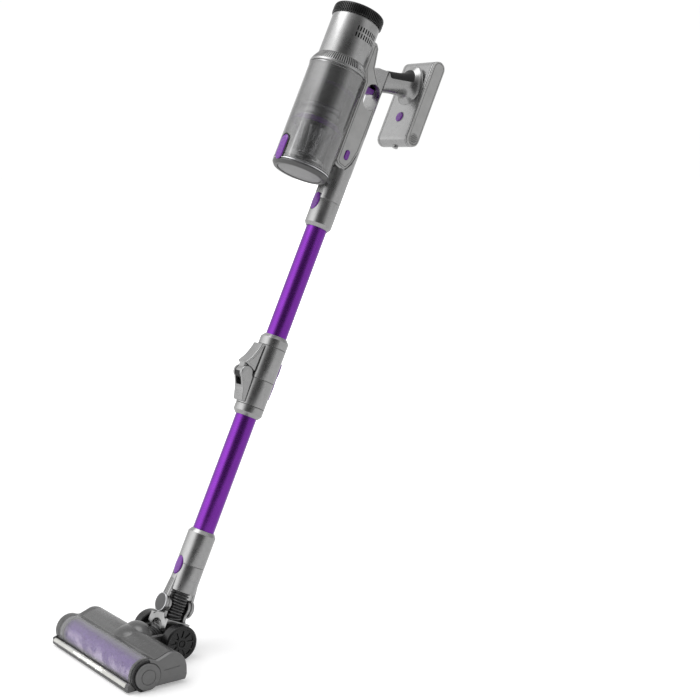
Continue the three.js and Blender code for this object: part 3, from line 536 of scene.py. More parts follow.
def clear(name, colour, roughness, face, rim, frost_and_reflection_bands=(), **sockets):
    made = Surface(name, colour, roughness, IOR=1.5, Specular_IOR_Level=0.8, **sockets)
    made.vary_colour(made.noise(30, 2), 0.05).vary_roughness(made.noise(9, 2), 0.01)
    return made.see_through(face, rim, frost_and_reflection_bands).bump(made.noise(40, 2), 0.06, 0.25).material


def rubber(name, colour, roughness):
    made = Surface(name, colour, roughness, Specular_IOR_Level=0.35)
    made.vary_colour(made.noise(2, 4), 0.12).vary_roughness(made.noise(5, 3), 0.05)
    return made.bump(made.noise(0.8, 3), 0.05, 0.4).material


def pile(name, dark, light, pale):
    """Short plush: fibre tips lighter than their roots, with paler patches on the roller's lower part,
    partly the fibre's own tone and partly painted light from the lip lamps.
    """
    made = Surface(name, dark, 0.95, Specular_IOR_Level=0.15, Sheen_Weight=0.6, Sheen_Roughness=0.5)
    made.shader.inputs["Sheen Tint"].default_value = (0.86, 0.76, 1.0, 1)
    made.vary_colour(made.noise(1.3, 5), 0.35, light)
    # The paler patches are kept to the roller's lower part, where they are partly painted light from the lip
    # lamps.
    low_down = made.spread(made.axis("Z"), 1, 0, 0.026, 0.036)
    pale_and_lamp_lit_patches = made.combined("MULTIPLY", low_down, made.spread(made.noise(24, 2), 0, 1, 0.44, 0.60))
    base = made.shader.inputs["Base Color"].links[0].from_socket
    colour = colour_over(made.nodes, made.links, pale_and_lamp_lit_patches, base, pale + [1])
    made.links.new(colour, made.shader.inputs["Base Color"])
    return made.bump(made.noise(0.7, 4), 0.5, 0.8).material


def glow(name, colour, strength):
    made = Surface(name, colour, 0.3)
    made.shader.inputs["Emission Color"].default_value = colour + [1]
    made.shader.inputs["Emission Strength"].default_value = strength
    return made.vary_colour(made.noise(3, 2), 0.03).material


GUNMETAL = coated("satin_gunmetal", [0.40, 0.40, 0.40], 0.28, 1.0)
HEAD_GREY = coated("gloss_head_grey", [0.12, 0.12, 0.12], 0.27, 0.5)
KNOB_GREY = coated("satin_knob_grey", [0.19, 0.19, 0.19], 0.40, 0.3)
PALE = plastic("pale_grey_shell", [0.47, 0.47, 0.465], 0.34, Coat_Weight=0.12)
# Dark grey for the inset lines and seams, also used as painted shade on the floors of the collar's grooves.
LINE_AND_GROOVE_SHADE = plastic("inset_line_and_groove_shade", [0.05, 0.05, 0.05], 0.5)
BLACK = plastic("black_moulding", [0.007, 0.007, 0.0075], 0.27)
SOFT_BLACK = rubber("soft_black_rubber", [0.018, 0.018, 0.019], 0.62)
HOSE_BLACK = plastic("hose_black", [0.16, 0.16, 0.162], 0.20, grain=1.2, Metallic=0.55)
PURPLE = plastic("purple_button", [0.19, 0.032, 0.36], 0.28, Coat_Weight=0.2)
TUBE_PURPLE = anodised("purple_anodised_tube", [0.215, 0.036, 0.40], 0.27)
CHROME = coated("satin_chrome", [0.62, 0.62, 0.64], 0.17, 1.0)
SMOKE = clear("smoky_clear_cup", [0.36, 0.36, 0.36], 0.13, 0.40, 0.9, [("Z", 0.80, 0.90, 0.72)],
              Metallic=0.85)
# The window is denser at both ends; the denser band along its top is partly frosting and partly a painted
# reflection of the light along it.
WINDOW = clear("clear_roller_window", [0.40, 0.40, 0.41], 0.07, 0.03, 0.5,
               [("X", -0.090, -0.112, 0.62), ("X", 0.112, 0.122, 0.5),
                                                                           ("Z", 0.0425, 0.0475, 0.5)])
LIP_CLEAR = clear("frosted_lip", [0.74, 0.74, 0.70], 0.25, 0.9, 0.98)
TINT = plastic("purple_cyclone_ring", [0.24, 0.07, 0.46], 0.25)
PLUSH = pile("purple_plush", [0.10, 0.035, 0.27], [0.31, 0.17, 0.58], [0.66, 0.54, 0.84])
LIGHT = glow("white_lamp", [1.0, 0.99, 0.97], 9.0)
BOARD = plastic("board_green", [0.02, 0.10, 0.045], 0.45)
LID_FACE = plastic("lid_face_grey", [0.30, 0.30, 0.30], 0.5)
GUIDE = glow("lit_light_guide", [0.92, 0.92, 0.90], 0.55)
# Near-black for dark inner parts, also used as painted shade in gaps, behind slots and behind openings.
DARK_AND_SHADE = plastic("dark_parts_and_painted_shade", [0.006, 0.006, 0.007], 0.5)
WHITE = rubber("filter_paper", [0.72, 0.72, 0.70], 0.9)
STEEL = coated("plain_steel", [0.50, 0.50, 0.51], 0.28, 1.0)
SHROUD = coated("shroud_metal", [0.42, 0.42, 0.43], 0.24, 1.0)
LID_GREY = coated("lid_grey", [0.13, 0.13, 0.13], 0.34, 0.6)
DISC_GREY = coated("swivel_disc_grey", [0.10, 0.10, 0.102], 0.42, 0.3)

# The record's material slot that each look belongs to, unless a piece names its own.
SLOTS = {
    "gunmetal": (GUNMETAL, HEAD_GREY, KNOB_GREY, LID_GREY),
    "light_grey": (PALE, LID_FACE, LIP_CLEAR, LIGHT, GUIDE),
    "black_plastic": (BLACK, DARK_AND_SHADE, LINE_AND_GROOVE_SHADE, DISC_GREY),
    "black_rubber": (SOFT_BLACK, HOSE_BLACK),
    "purple_plastic": (PURPLE, TINT),
    "purple_metal": (TUBE_PURPLE,),
    "purple_plush": (PLUSH,),
    "bright_metal": (CHROME,),
    "steel": (STEEL, SHROUD),
    "smoke_clear": (SMOKE,),
    "window_clear": (WINDOW,),
    "circuit_board": (BOARD,),
    "filter_white": (WHITE,),
}


# ---------------------------------------------------------------- cutting shapes
def bin_room(extra):
    return fuse(
        turn([(0, WAND_SEAM + 5), (BIN_R + extra, WAND_SEAM + 5), (BIN_R + extra, CUP_TOP + 0.2),
              (0, CUP_TOP + 0.2)],
             **ON_BIN, segments=192),
        turn([(0, CUP_TOP - 1), (50, CUP_TOP - 1), (50, CUP_TOP + 6), (42.4, SKIRT_TOP + 2),
              (MOTOR_R + 0.3, SKIRT_TOP + 2), (MOTOR_R + 0.3, CAP_TOP), (0, CAP_TOP)], **ON_BIN,
              segments=192),
    )


def finger_hole():
    return slab(stadium(HOLE_Y, HOLE_LOW, HOLE_HIGH, HOLE_R, 32), -40, 40)


def trigger_room():
    return block(-8.7, 8.7, -15, 8, HOLE_HIGH, 976)


def button_pocket(z):
    """Room in a round shell for an oval button and its stroke."""
    return slab(oval(0, z, BUTTON_HALF_X + 0.5, BUTTON_HALF_Z + 0.5), -32, -16.0, "xz")


def above_handle():
    """Everything behind the thin top of the spine and above the handle's upper surface."""
    return slab([(-17.6, 979), (-20.8, 996), (-24, 1012), (-28, 1018.2), (-36, 1020.6), (-36, 1080),
                 (60, 1080), (60, 1008), (24, 993),
                 (4, 987)], -60, 60)


# ---------------------------------------------------------------- handheld machine
def build_duct():
    flanks = slab(fillet([
        (-30, 812, 3), (-22, 804, 3), (-3, 800, 14), (10, 830, 40), (11, SPINE_TOP - 12, 8),
        (4, SPINE_TOP, 8),
        (-22, SPINE_TOP, 5), (-32, SPINE_TOP - 10, 3),
    ], steps=8), -SPINE_HALF, SPINE_HALF, edge=1.2, steps=4)
    barrel = rod(SOCKET_R, WAND_SEAM + 0.3, SPINE_TOP - 14, 0.6, segments=160)
    hollow = turn([
        (0, WAND_SEAM - 5), (20.1, WAND_SEAM - 5), (20.1, WAND_SEAM + PLUG_LENGTH + 3),
        (16, WAND_SEAM + PLUG_LENGTH + 8), (16, 893), (0, 903),
    ])
    button_room = slab(stadium(*BIN_BUTTON, 4.9), SPINE_HALF - 3.5, SPINE_HALF + 5)
    panel_room = [(-40, 803), (-3, 803), (6, 817), (12, 842), (12, 1060), (-40, 1060)]
    body = carve(
        fuse(barrel, flanks), bin_room(1.6), hollow, finger_hole(), trigger_room(), button_room,
        slab(panel_room, SPINE_HALF - 0.02, 40), slab(panel_room, -40, -SPINE_HALF + 0.02), above_handle(),
        button_pocket(UPPER_BUTTON_Z), block(-14, 14, -28.4, -25, 976, 1008),
    )
    publish("duct_shell", body, "handheld", GUNMETAL, "duct_housing")
    chips = [block(x, x + 6, -27.6, -26.4, z, z + 5, 0.3) for x in (-10, -1.5, 6) for z in (982, 990, 998)]
    board = group(block(-13, 13, -26.6, -25.4, 977.5, 1006.5, 0.3), *chips)
    publish("control_circuit", board, "handheld", BOARD, "control_board")


PANEL_EDGE = [
    (-24.7, 822), (-23.5, 812), (-18, 807), (-3, 805), (4.5, 818), (10.2, 842), (11, 930), (8, 953),
    (-9, 970), (-17.8, 981),
    (-21, 997), (-24.3, 1012), (-29, 1017.5), (-34.5, 1016), (-34.5, 970), (-24.7, 952),
]


def panel_strip(inset, width, low, high):
    """A band that follows the side panel's visible edge at a distance inside it."""
    return carve(slab(fillet(shrink(PANEL_EDGE, inset), 3, 6), low, high),
                 slab(fillet(shrink(PANEL_EDGE, inset + width), 2.4, 6), low - 1, high + 1))


def build_panel(side, name):
    outline = fillet([
        (-27, 822, 2), (-25.5, 813, 4), (-20, 807.5, 5), (-3, 804.5, 8), (4, 818, 30), (10.2, 842, 60),
        (11, 930, 10), (8, 953, 8),
        (-9, 970, 8), (-17.8, 981, 6), (-21, 997, 20), (-24.3, 1012, 4), (-30, 1018.2, 4),
        (-37.5, 1019.5, 2), (-37.5, 960, 2),
        (-31, 950, 3),
    ], steps=10)
    inner = SPINE_HALF + 0.3
    outer = inner + PANEL_T
    low, high = on_side(side, inner, outer)
    plate = slab(outline, low, high, edge=0.8, steps=4)
    face = on_side(side, outer - 0.5, outer + 2)
    tools = [panel_strip(2.3, 1.0, *face), bin_room(1.6), finger_hole()]
    line = on_side(side, outer - 0.6, outer - 0.25)
    strip = carve(panel_strip(2.4, 0.8, *line), bin_room(1.8),
                  slab(stadium(HOLE_Y, HOLE_LOW, HOLE_HIGH, HOLE_R + 1), -40, 40))
    publish(name + "_inset_line", strip, "handheld", LINE_AND_GROOVE_SHADE)
    if side > 0:
        tools.append(slab(stadium(*BIN_BUTTON, 4.9), 0, 40))
    publish(name, carve(plate, *tools), "handheld", PALE, name)


def handle_section(y, z, half_x, half_z, grow=0.0):
    tilt = math.atan2(HANDLE_END[1] - HANDLE_START[1], HANDLE_END[0] - HANDLE_START[0])
    points = []
    count = 72
    squareness = 0.86
    for k in range(count):
        t = 2 * math.pi * k / count
        a, b = math.cos(t), math.sin(t)
        x = math.copysign(abs(a) ** squareness, a) * (half_x + grow)
        rise = math.copysign(abs(b) ** squareness, b) * (half_z + grow)
        points.append((x, y - rise * math.sin(tilt) * 0.6, z + rise))
    return points


HANDLE_STATIONS = [
    (-17.4, 962.4, 15.5, 17.4), (-8, 965.8, 16.6, 18.8), (4, 970.4, 17.0, 21), (12, 973.3, 16.4, 20),
    (22, 976.9, 16.4, 18.6), (34, 981.2, 16.6, 18), (48, 986.2, 16.8, 18.2),
    (60, 990.5, 17.6, 19.6), (67, 992.2, 19.6, 23), (73, 992.8, 24, 30.5), (77.4, 992.4, 28.6, 37.6),
    (80.5, 992, 30, 40),
]


def build_handle():
    stations = spline(HANDLE_STATIONS, 6) + [HANDLE_STATIONS[-1]]
    body = loft([handle_section(*station) for station in stations])
    grip = loft([handle_section(*station, grow=0.5) for station in stations])
    behind = block(-60, 60, BATTERY_FRONT - 0.3, 140, 880, 1080)
    slope = (HANDLE_END[1] - HANDLE_START[1]) / (HANDLE_END[0] - HANDLE_START[0])

    def upper(extra, edge):
        low, high = HANDLE_START[1] + slope * 27 + 5, HANDLE_START[1] + slope * 69 + 5
        return slab(fillet([
            (23 - extra, low - extra), (67 + extra, high - extra), (64 + extra, high + 40),
            (16 - extra, low + 40),
        ], edge, 6), -30, 30)

    pad = keep(grip, upper(0, 3.5))
    pad = carve(pad, loft([handle_section(*station, grow=-1.8) for station in stations]))
    room = carve(upper(0.5, 4), loft([handle_section(*station, grow=-1.9) for station in stations]))
    body = carve(body, behind, room, finger_hole(), trigger_room())
    publish("rear_handle", body, "handheld", GUNMETAL, "handle_arm", sharp=40)
    publish("handle_pad", soften(pad, 0.5), "handheld", SOFT_BLACK, "grip_pad", sharp=40)


def build_motor_drum():
    shell = turn(fillet([
        (MOTOR_R - 2.6, SKIRT_TOP + 0.3), (MOTOR_R, SKIRT_TOP + 0.3, 0.8), (MOTOR_R, MOTOR_TOP - 2.2, 0.6),
        (MOTOR_R - 0.8, MOTOR_TOP - 1.6, 0.3), (MOTOR_R - 0.8, MOTOR_TOP, 0.3), (MOTOR_R - 2.6, MOTOR_TOP),
    ], 0.3, 4), **ON_BIN, segments=240)
    slots = []
    for side in (-1, 1):
        for low in (1002, 1012.8):
            for i in range(9):
                slot = slab(stadium(0, low + 1.1, low + 7.6, 1.15, 8), -MOTOR_R - 3, -MOTOR_R + 6, "xz")
                angle = math.radians(side * (67 + i * 7))
                slots.append(swung(slot, angle))
    publish("motor_drum", carve(shell, group(*slots)), "handheld", GUNMETAL, "motor_housing")
    # A dark ring inside the drum behind the vent slots: painted shade seen through them.
    vent_shade_ring = ring(MOTOR_R - 3.4, MOTOR_R - 4, 996, 1026, 0.1, **ON_BIN)
    publish("vent_shade_liner", vent_shade_ring, "handheld", DARK_AND_SHADE)


def comb(count, depth, share, low, high):
    """Fine grooves round a turned part, between two heights."""
    def wave(t, r, h):
        if not low < h < high:
            return r
        phase = (t * count / (2 * math.pi)) % 1
        edge = min(phase, 1 - phase) * 2
        return r - depth * min(1, max(0, (share - edge) / 0.14 + 0.5))
    return wave


def paint_groove_shade(target, count, share, low, high):
    """Paints shade on the floors of comb grooves: they get the second material of a turned piece, a dark
    grey.
    """
    for polygon in target.data.polygons:
        x, y, z = polygon.center
        phase = (math.atan2(y - BIN_Y, x) * count / (2 * math.pi)) % 1
        polygon.material_index = 1 if min(phase, 1 - phase) * 2 < share and low < z < high else 0


def build_skirt():
    low, high = CUP_TOP + 4.5, SKIRT_TOP - 0.6
    cone = [(49 - 7.4 * ((z - low) / (high - low)) ** 1.25, z) for z in
            [low + (high - low) * k / 14 for k in range(15)]]
    profile = [(36, CUP_TOP + 3), (46, CUP_TOP + 0.6), (48.4, CUP_TOP + 0.6), (49, CUP_TOP + 1.2),
               (49, low - 0.4)]
    profile += [(r - 0.1, z) for r, z in cone] + [(41, SKIRT_TOP), (36, SKIRT_TOP)]
    body = turn(profile, **ON_BIN, segments=960, wave=comb(80, 1.8, 0.5, low + 0.2, high + 0.1))
    # The floors of the grooves get painted shade: the second material, a dark grey.
    paint_groove_shade(body, 80, 0.48, low + 0.2, high - 1.2)
    finish_piece("ribbed_collar", body, [GUNMETAL, LINE_AND_GROOVE_SHADE], ["ribbed_skirt"], WAND, 40)
    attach(body, "handheld")


def build_cap():
    profile = fillet([
        (38.4, MOTOR_TOP + 0.3), (CAP_R - 0.4, MOTOR_TOP + 0.3, 0.5), (CAP_R, MOTOR_TOP + 1.6, 0.4),
        (CAP_R, CAP_TOP - 4.6, 1.2),
        (CAP_R - 1, CAP_TOP - 1.5, 1), (40.4, CAP_TOP - 0.3, 0.6), (37.8, CAP_TOP - 0.3, 0.4),
        (37.8, CAP_TOP - 3, 0.3), (38.4, CAP_TOP - 4),
    ], 0.3, 4)
    ribs = comb(76, 1.6, 0.5, MOTOR_TOP + 1.2, CAP_TOP - 2.2)
    outside = lambda t, r, h: ribs(t, r, h) if r > 39.5 else r
    publish("twist_ring", turn(profile, **ON_BIN, segments=760, wave=outside), "filter_ring", BLACK,
            "cap_ring", sharp=40)
    cover = turn(fillet([
        (0, CAP_TOP - 5, 0), (37, CAP_TOP - 5), (37, CAP_TOP - 1.4, 0.8), (34, CAP_TOP - 0.2, 1),
        (31, CAP_TOP - 0.4, 1),
        (28, CAP_TOP - 1.8, 2), (9, CAP_TOP - 1.8, 1), (7, CAP_TOP - 0.6, 1), (0, CAP_TOP - 0.6, 0),
    ], 0.3, 4), **ON_BIN, segments=160)
    slots = []
    for row, count in ((12.5, 18), (18.5, 26), (24.5, 34)):
        for k in range(count):
            slot = slab(stadium(0, row - 1.6, row + 1.6, 0.8, 8), CAP_TOP - 8, CAP_TOP + 2, "xy")
            slots.append(swung(slot, 2 * math.pi * k / count))
    publish("filter_grille", carve(cover, group(*slots)), "filter_cartridge", GUNMETAL, "filter_cover")
    pleats = turn([(20, MOTOR_TOP + 1.5), (36.5, MOTOR_TOP + 1.5), (36.5, CAP_TOP - 5.4),
                   (20, CAP_TOP - 5.4)],
                  **ON_BIN, segments=288, wave=lambda t, r,
                  h: r - (1.2 if r > 30 else -1.2) * abs(math.sin(36 * t)))
    publish("pleated_filter", pleats, "filter_cartridge", WHITE, "exhaust_filter", sharp=20)


def build_trigger():
    outline = fillet([
        (-14, 953), (-14, 944, 3), (-11, 936, 2.4), (-6, 940.5, 6), (0, 943, 8), (6, 943.5, 2), (7, 953),
    ], 0.6, 6)
    publish("finger_trigger", slab(outline, -8.2, 8.2, edge=1.2, steps=5), "trigger", PURPLE, "trigger")


def build_bin_button():
    outline = stadium(*BIN_BUTTON, 4.4, 24)
    publish("oval_bin_button", slab(outline, SPINE_HALF - 1, SPINE_HALF + PANEL_T + 2, edge=1.3, steps=6),
            "bin_button",
            PURPLE, "bin_button")
    # A thin dark ring in the gap round the button: painted shade between button and panel.
    button_gap_shade = carve(slab(stadium(*BIN_BUTTON, 4.85, 24), SPINE_HALF - 3.3, SPINE_HALF + PANEL_T + 0.2),
                   slab(stadium(*BIN_BUTTON, 4.55, 24), SPINE_HALF - 5, SPINE_HALF + 9))
    publish("bin_button_gap_shade", button_gap_shade, "handheld", DARK_AND_SHADE)


# ---------------------------------------------------------------- dust bin
def build_cup():
    wall = turn(fillet([
        (BIN_R - 2.2, CUP_BOTTOM), (BIN_R, CUP_BOTTOM, 0.5), (BIN_R, CUP_BOTTOM + 3.4, 0.2),
        (BIN_R - 0.35, CUP_BOTTOM + 3.7, 0.2),
        (BIN_R - 0.35, CUP_TOP - 4, 0.2), (BIN_R, CUP_TOP - 3.7, 0.2), (BIN_R, CUP_TOP, 0.6),
        (BIN_R - 2.2, CUP_TOP, 0.4),
    ], 0.3, 4), **ON_BIN, segments=192)
    cup = carve(wall, block(-11, 11, -40, -5, 866, 890))
    publish("clear_cup", cup, "dust_bin", SMOKE, "dust_cup")
    rim = ring(BIN_R - 2.4, BIN_R - 4.2, CUP_TOP - 5, CUP_TOP - 0.3, 0.3, **ON_BIN, segments=160)
    foot = ring(BIN_R - 2.4, BIN_R - 3.6, CUP_BOTTOM + 2, CUP_BOTTOM + 6.5, 0.3, **ON_BIN, segments=160)
    publish("cup_rim_seals", group(rim, foot), "dust_bin", SOFT_BLACK)


def build_cyclone():
    body = turn(fillet([
        (10, 797), (16.5, 797, 2), (22, 842, 3), (36, 849.5, 2), (37.5, 852, 1), (37.5, 858, 1),
        (34.2, 862, 2), (34.2, 941, 3),
        (43.6, 943, 1), (43.6, 945.5, 0.5), (31, 945.5), (31, 866), (14, 800),
    ], 0.6, 5), **ON_BIN, segments=160)
    fins = []
    for k in range(8):
        fin = slab(fillet([(17, 800), (31, 800, 4), (34.5, 846, 2), (20, 846)], 0.5, 4), -1.3, 1.3,
                   edge=0.4)
        fins.append(swung(fin, math.radians(22.5 + 45 * k)))
    publish("cyclone_core", group(body, *fins), "dust_bin", CHROME, "cyclone_body")
    step = turn(fillet([(38.4, 874), (41.2, 872, 0.8), (42.4, 873.5, 0.6), (42.4, 876, 0.6), (39, 880, 1),
                        (38.4, 880)], 0.3, 4),
                **ON_BIN, segments=160)
    publish("shroud_step", step, "dust_bin", CHROME)
    upper = turn(fillet([(38.3, 912.6), (40.2, 912.6), (41.2, 914), (41.2, 917), (40.2, 918.2),
                         (38.3, 918.2)], 0.6, 4),
                 **ON_BIN, segments=160)
    lower = turn(fillet([(37.6, 850.6), (42.6, 845.6, 0.5), (43.6, 846.4, 0.5), (43.6, 848.6, 0.5),
                         (38.2, 856), (37.6, 856)], 0.4, 4),
                 **ON_BIN, segments=160)
    publish("cyclone_rings", group(upper, lower), "dust_bin", TINT)
    mesh = ring(38, 36.8, 872, 938, 0.3, **ON_BIN, segments=200)
    publish("shroud_mesh", mesh, "dust_bin", SHROUD, "mesh_screen")


def build_lid():
    plate = turn(fillet([
        (0, LID_BOTTOM + 2.4, 0), (37.6, LID_BOTTOM + 2.4), (38, LID_BOTTOM + 0.6, 0.4),
        (39, LID_BOTTOM, 0.4),
        (43.6, LID_BOTTOM, 2.5), (BIN_R - 0.6, LID_BOTTOM + 5.4, 1.5), (BIN_R - 0.8, LID_BOTTOM + 7.2, 0.4),
        (45.6, LID_BOTTOM + 7.2), (45.6, LID_BOTTOM + 5), (0, LID_BOTTOM + 5, 0),
    ], 0.3, 5), **ON_BIN, segments=192)
    publish("bin_base_lid", plate, "bin_lid", LID_GREY, "bin_lid", sharp=40)
    band = ring(BIN_R, 45.6, LID_BOTTOM + 7.9, CUP_BOTTOM - 0.7, 0.5, **ON_BIN, segments=192)
    publish("lid_bright_band", band, "bin_lid", CHROME)
    # Dark rings in the gaps above and below the bright band: painted shade between the lid and the cup.
    gap_shade_rings = group(ring(BIN_R - 1.2, 45.4, LID_BOTTOM + 7, LID_BOTTOM + 8.1, 0.1, **ON_BIN, segments=128),
                 ring(BIN_R - 1.2, 45.4, CUP_BOTTOM - 0.9, CUP_BOTTOM - 0.2, 0.1, **ON_BIN, segments=128))
    publish("lid_gap_shade_rings", gap_shade_rings, "bin_lid", DARK_AND_SHADE, slot="black_rubber")
    publish("lid_face_disc", rod(37.1, LID_BOTTOM + 1.2, LID_BOTTOM + 2.6, 0.5, **ON_BIN, segments=160),
            "bin_lid", LID_FACE)
    seal = ring(45.2, 42.5, LID_BOTTOM + 5.3, CUP_BOTTOM + 1.5, 0.7, **ON_BIN, segments=128)
    publish("lid_seal", seal, "bin_lid", SOFT_BLACK, "lid_gasket")


def pad_face(outline, low, high, edge, dome, centre, centre_y=0.0):
    """A domed plate on the front of a round part: its outline shrinks to its centre and rises by dome."""
    sections = []
    rows = 14
    cx, cz = centre

    def on_part(x, radius, z):
        return (radius * math.sin(x / high), centre_y - radius * math.cos(x / high), z)

    for radius in (low, high - edge):
        sections.append([on_part(a, radius, b) for a, b in outline])
    for k in range(1, rows + 1):
        t = k / rows
        share = 1 - t
        lift = high - edge + (edge + dome) * (1 - share ** 4) ** 0.5
        shape = [(cx + (a - cx) * (0.04 + 0.96 * share), cz + (b - cz) * (0.04 + 0.96 * share)) for a,
                 b in outline]
        sections.append([on_part(a, lift, b) for a, b in shape])
    return loft(sections)


def build_bin_latch():
    face = pad_face(stadium(0, 779, 803, 9.4, 28), BIN_R + 0.4, BIN_R + 1.9, 1.2, 0.9, (0, 791),
                    centre_y=BIN_Y)
    publish("bin_latch_tab", face, "bin_latch", PURPLE, "bin_latch")
    # A thin dark frame round the tab: painted shade in the gap round it.
    latch_gap_shade = keep(
        carve(slab(stadium(0, 779.2, 804, 11, 28), BIN_Y - 60, BIN_Y - 40, "xz"),
              slab(stadium(0, 774.5, 803, 9.8, 28), BIN_Y - 62, BIN_Y - 38, "xz")),
        ring(BIN_R + 1.3, BIN_R + 0.05, 760, 830, 0.1, **ON_BIN, segments=192),
    )
    publish("latch_shade_frame", latch_gap_shade, "dust_bin", DARK_AND_SHADE)


# ---------------------------------------------------------------- battery
def battery_outline(inset):
    radius = (BATTERY_BACK - BATTERY_FRONT) / 2
    middle = (BATTERY_BACK + BATTERY_FRONT) / 2
    return stadium(middle, BATTERY_BOTTOM + radius, BATTERY_TOP - radius, radius - inset, 28)


def build_battery():
    half = BATTERY_HALF - BATTERY_CAP_T
    shell = slab(battery_outline(0), -half, half, edge=0.7)
    seams = []
    for x in (-half + 3.2, half - 3.2):
        seams.append(carve(slab(battery_outline(-2), x - 0.4, x + 0.4),
                           slab(battery_outline(0.65), x - 1, x + 1)))
    recess = rod(9.0, 70, 84.6, 0.3, **ON_BATTERY_BUTTON, segments=96)
    shell = carve(shell, *seams, recess)
    dark_seams = [carve(slab(battery_outline(0.3), x - 0.35, x + 0.35),
                        slab(battery_outline(0.6), x - 1, x + 1))
                  for x in (-half + 3.2, half - 3.2)]
    publish("battery_seams", group(*dark_seams), "battery", LINE_AND_GROOVE_SHADE)
    rim = ring(10.0, 8.8, BATTERY_FRONT - 0.5, BATTERY_FRONT + 1, 0.35, **ON_BATTERY_BUTTON, segments=64)
    port = rod(5, BATTERY_BOTTOM - 3.5, BATTERY_BOTTOM + 1.2, 1.0, at=(0, 92), segments=48)
    publish("battery_shell", group(shell, rim, port), "battery", GUNMETAL, "battery_case")
    for side, name in ((1, "battery_cap_right"), (-1, "battery_cap_left")):
        inner, outer = half + 0.3, BATTERY_HALF
        low, high = on_side(side, inner, outer)
        cap = slab(battery_outline(0.4), low, high, edge=1.1, steps=4)
        face = on_side(side, outer - 0.6, outer + 4)
        line = on_side(side, outer - 0.6, outer - 0.3)
        grille_y, grille_z = (BATTERY_BACK + BATTERY_FRONT) / 2, BATTERY_BOTTOM + 13.6
        tools = [carve(slab(battery_outline(3.0), *face), slab(battery_outline(3.8), -99, 99))]
        ring_at = {"axis": "x", "at": (grille_y, grille_z), "segments": 96}
        tools.append(ring(9.2, 8.5, *face, 0, **ring_at))
        strip = group(carve(slab(battery_outline(3.05), *line), slab(battery_outline(3.75), -99, 99)),
                      ring(9.15, 8.55, *line, 0, **ring_at))
        bars = []
        for k in range(-2, 3):
            reach = math.sqrt(56 - (k * 2.8) ** 2)
            for made, width, span in ((tools, 0.85, face), (bars, 0.8, line)):
                slot = slab(stadium(0, -reach + 0.5, reach - 0.5, width, 8), *span)
                moved(slot, Matrix.Translation((0, grille_y, grille_z)) @ Matrix.Rotation(math.radians(-42),
                    4, "X")
                      @ Matrix.Translation((0, k * 2.8, 0)))
                made.append(slot)
        publish(name + "_lines", group(strip, *bars), "battery", LINE_AND_GROOVE_SHADE)
        publish(name + "_face", carve(cap, *tools), "battery", PALE, name)
    button = turn(fillet([(0, 80.5, 0), (8.3, 80.5, 0.3), (8.5, 77.6, 1.4), (6.4, 76.6, 2), (0, 76.2, 0)],
                         0.5, 6), **ON_BATTERY_BUTTON, segments=96)
    publish("round_battery_button", button, "battery_button", PURPLE, "battery_button")


# ---------------------------------------------------------------- wand
def oval_button(name, z, body, node):
    face = pad_face(oval(0, z, BUTTON_HALF_X, BUTTON_HALF_Z, 80), 21.6, SOCKET_R + 0.9, 1.6, 0.55, (0, z))
    publish(name, face, body, PURPLE, node)


def build_upper_collar():
    body = turn(fillet([
        (TUBE_R + 0.15, COLLAR_BOTTOM - SHOULDER), (18.9, COLLAR_BOTTOM - SHOULDER, 0.5),
        (SOCKET_R, COLLAR_BOTTOM, 1.2),
        (SOCKET_R, WAND_SEAM, 0.5), (PLUG_R, WAND_SEAM, 0), (PLUG_R, WAND_SEAM + PLUG_LENGTH - 2),
        (PLUG_R - 1, WAND_SEAM + PLUG_LENGTH),
        (16.5, WAND_SEAM + PLUG_LENGTH), (16.5, WAND_SEAM - 6), (TUBE_R + 0.15, WAND_SEAM - 6),
    ], 0.3, 5), segments=160)
    publish("upper_wand_collar", carve(body, button_pocket(UPPER_BUTTON_Z)), "upper_wand", GUNMETAL,
            "upper_collar")
    oval_button("upper_oval_button", UPPER_BUTTON_Z, "wand_button", "wand_button")


def build_tubes():
    for name, body, low, high in (
        ("upper_tube", "upper_wand", 467, WAND_SEAM - 7),
        ("lower_tube", "lower_wand", 162.4, 399),
    ):
        tube = ring(TUBE_R, 16, low, high, 0.4, segments=128)
        publish(name + "_anodised", tube, body, TUBE_PURPLE, name)


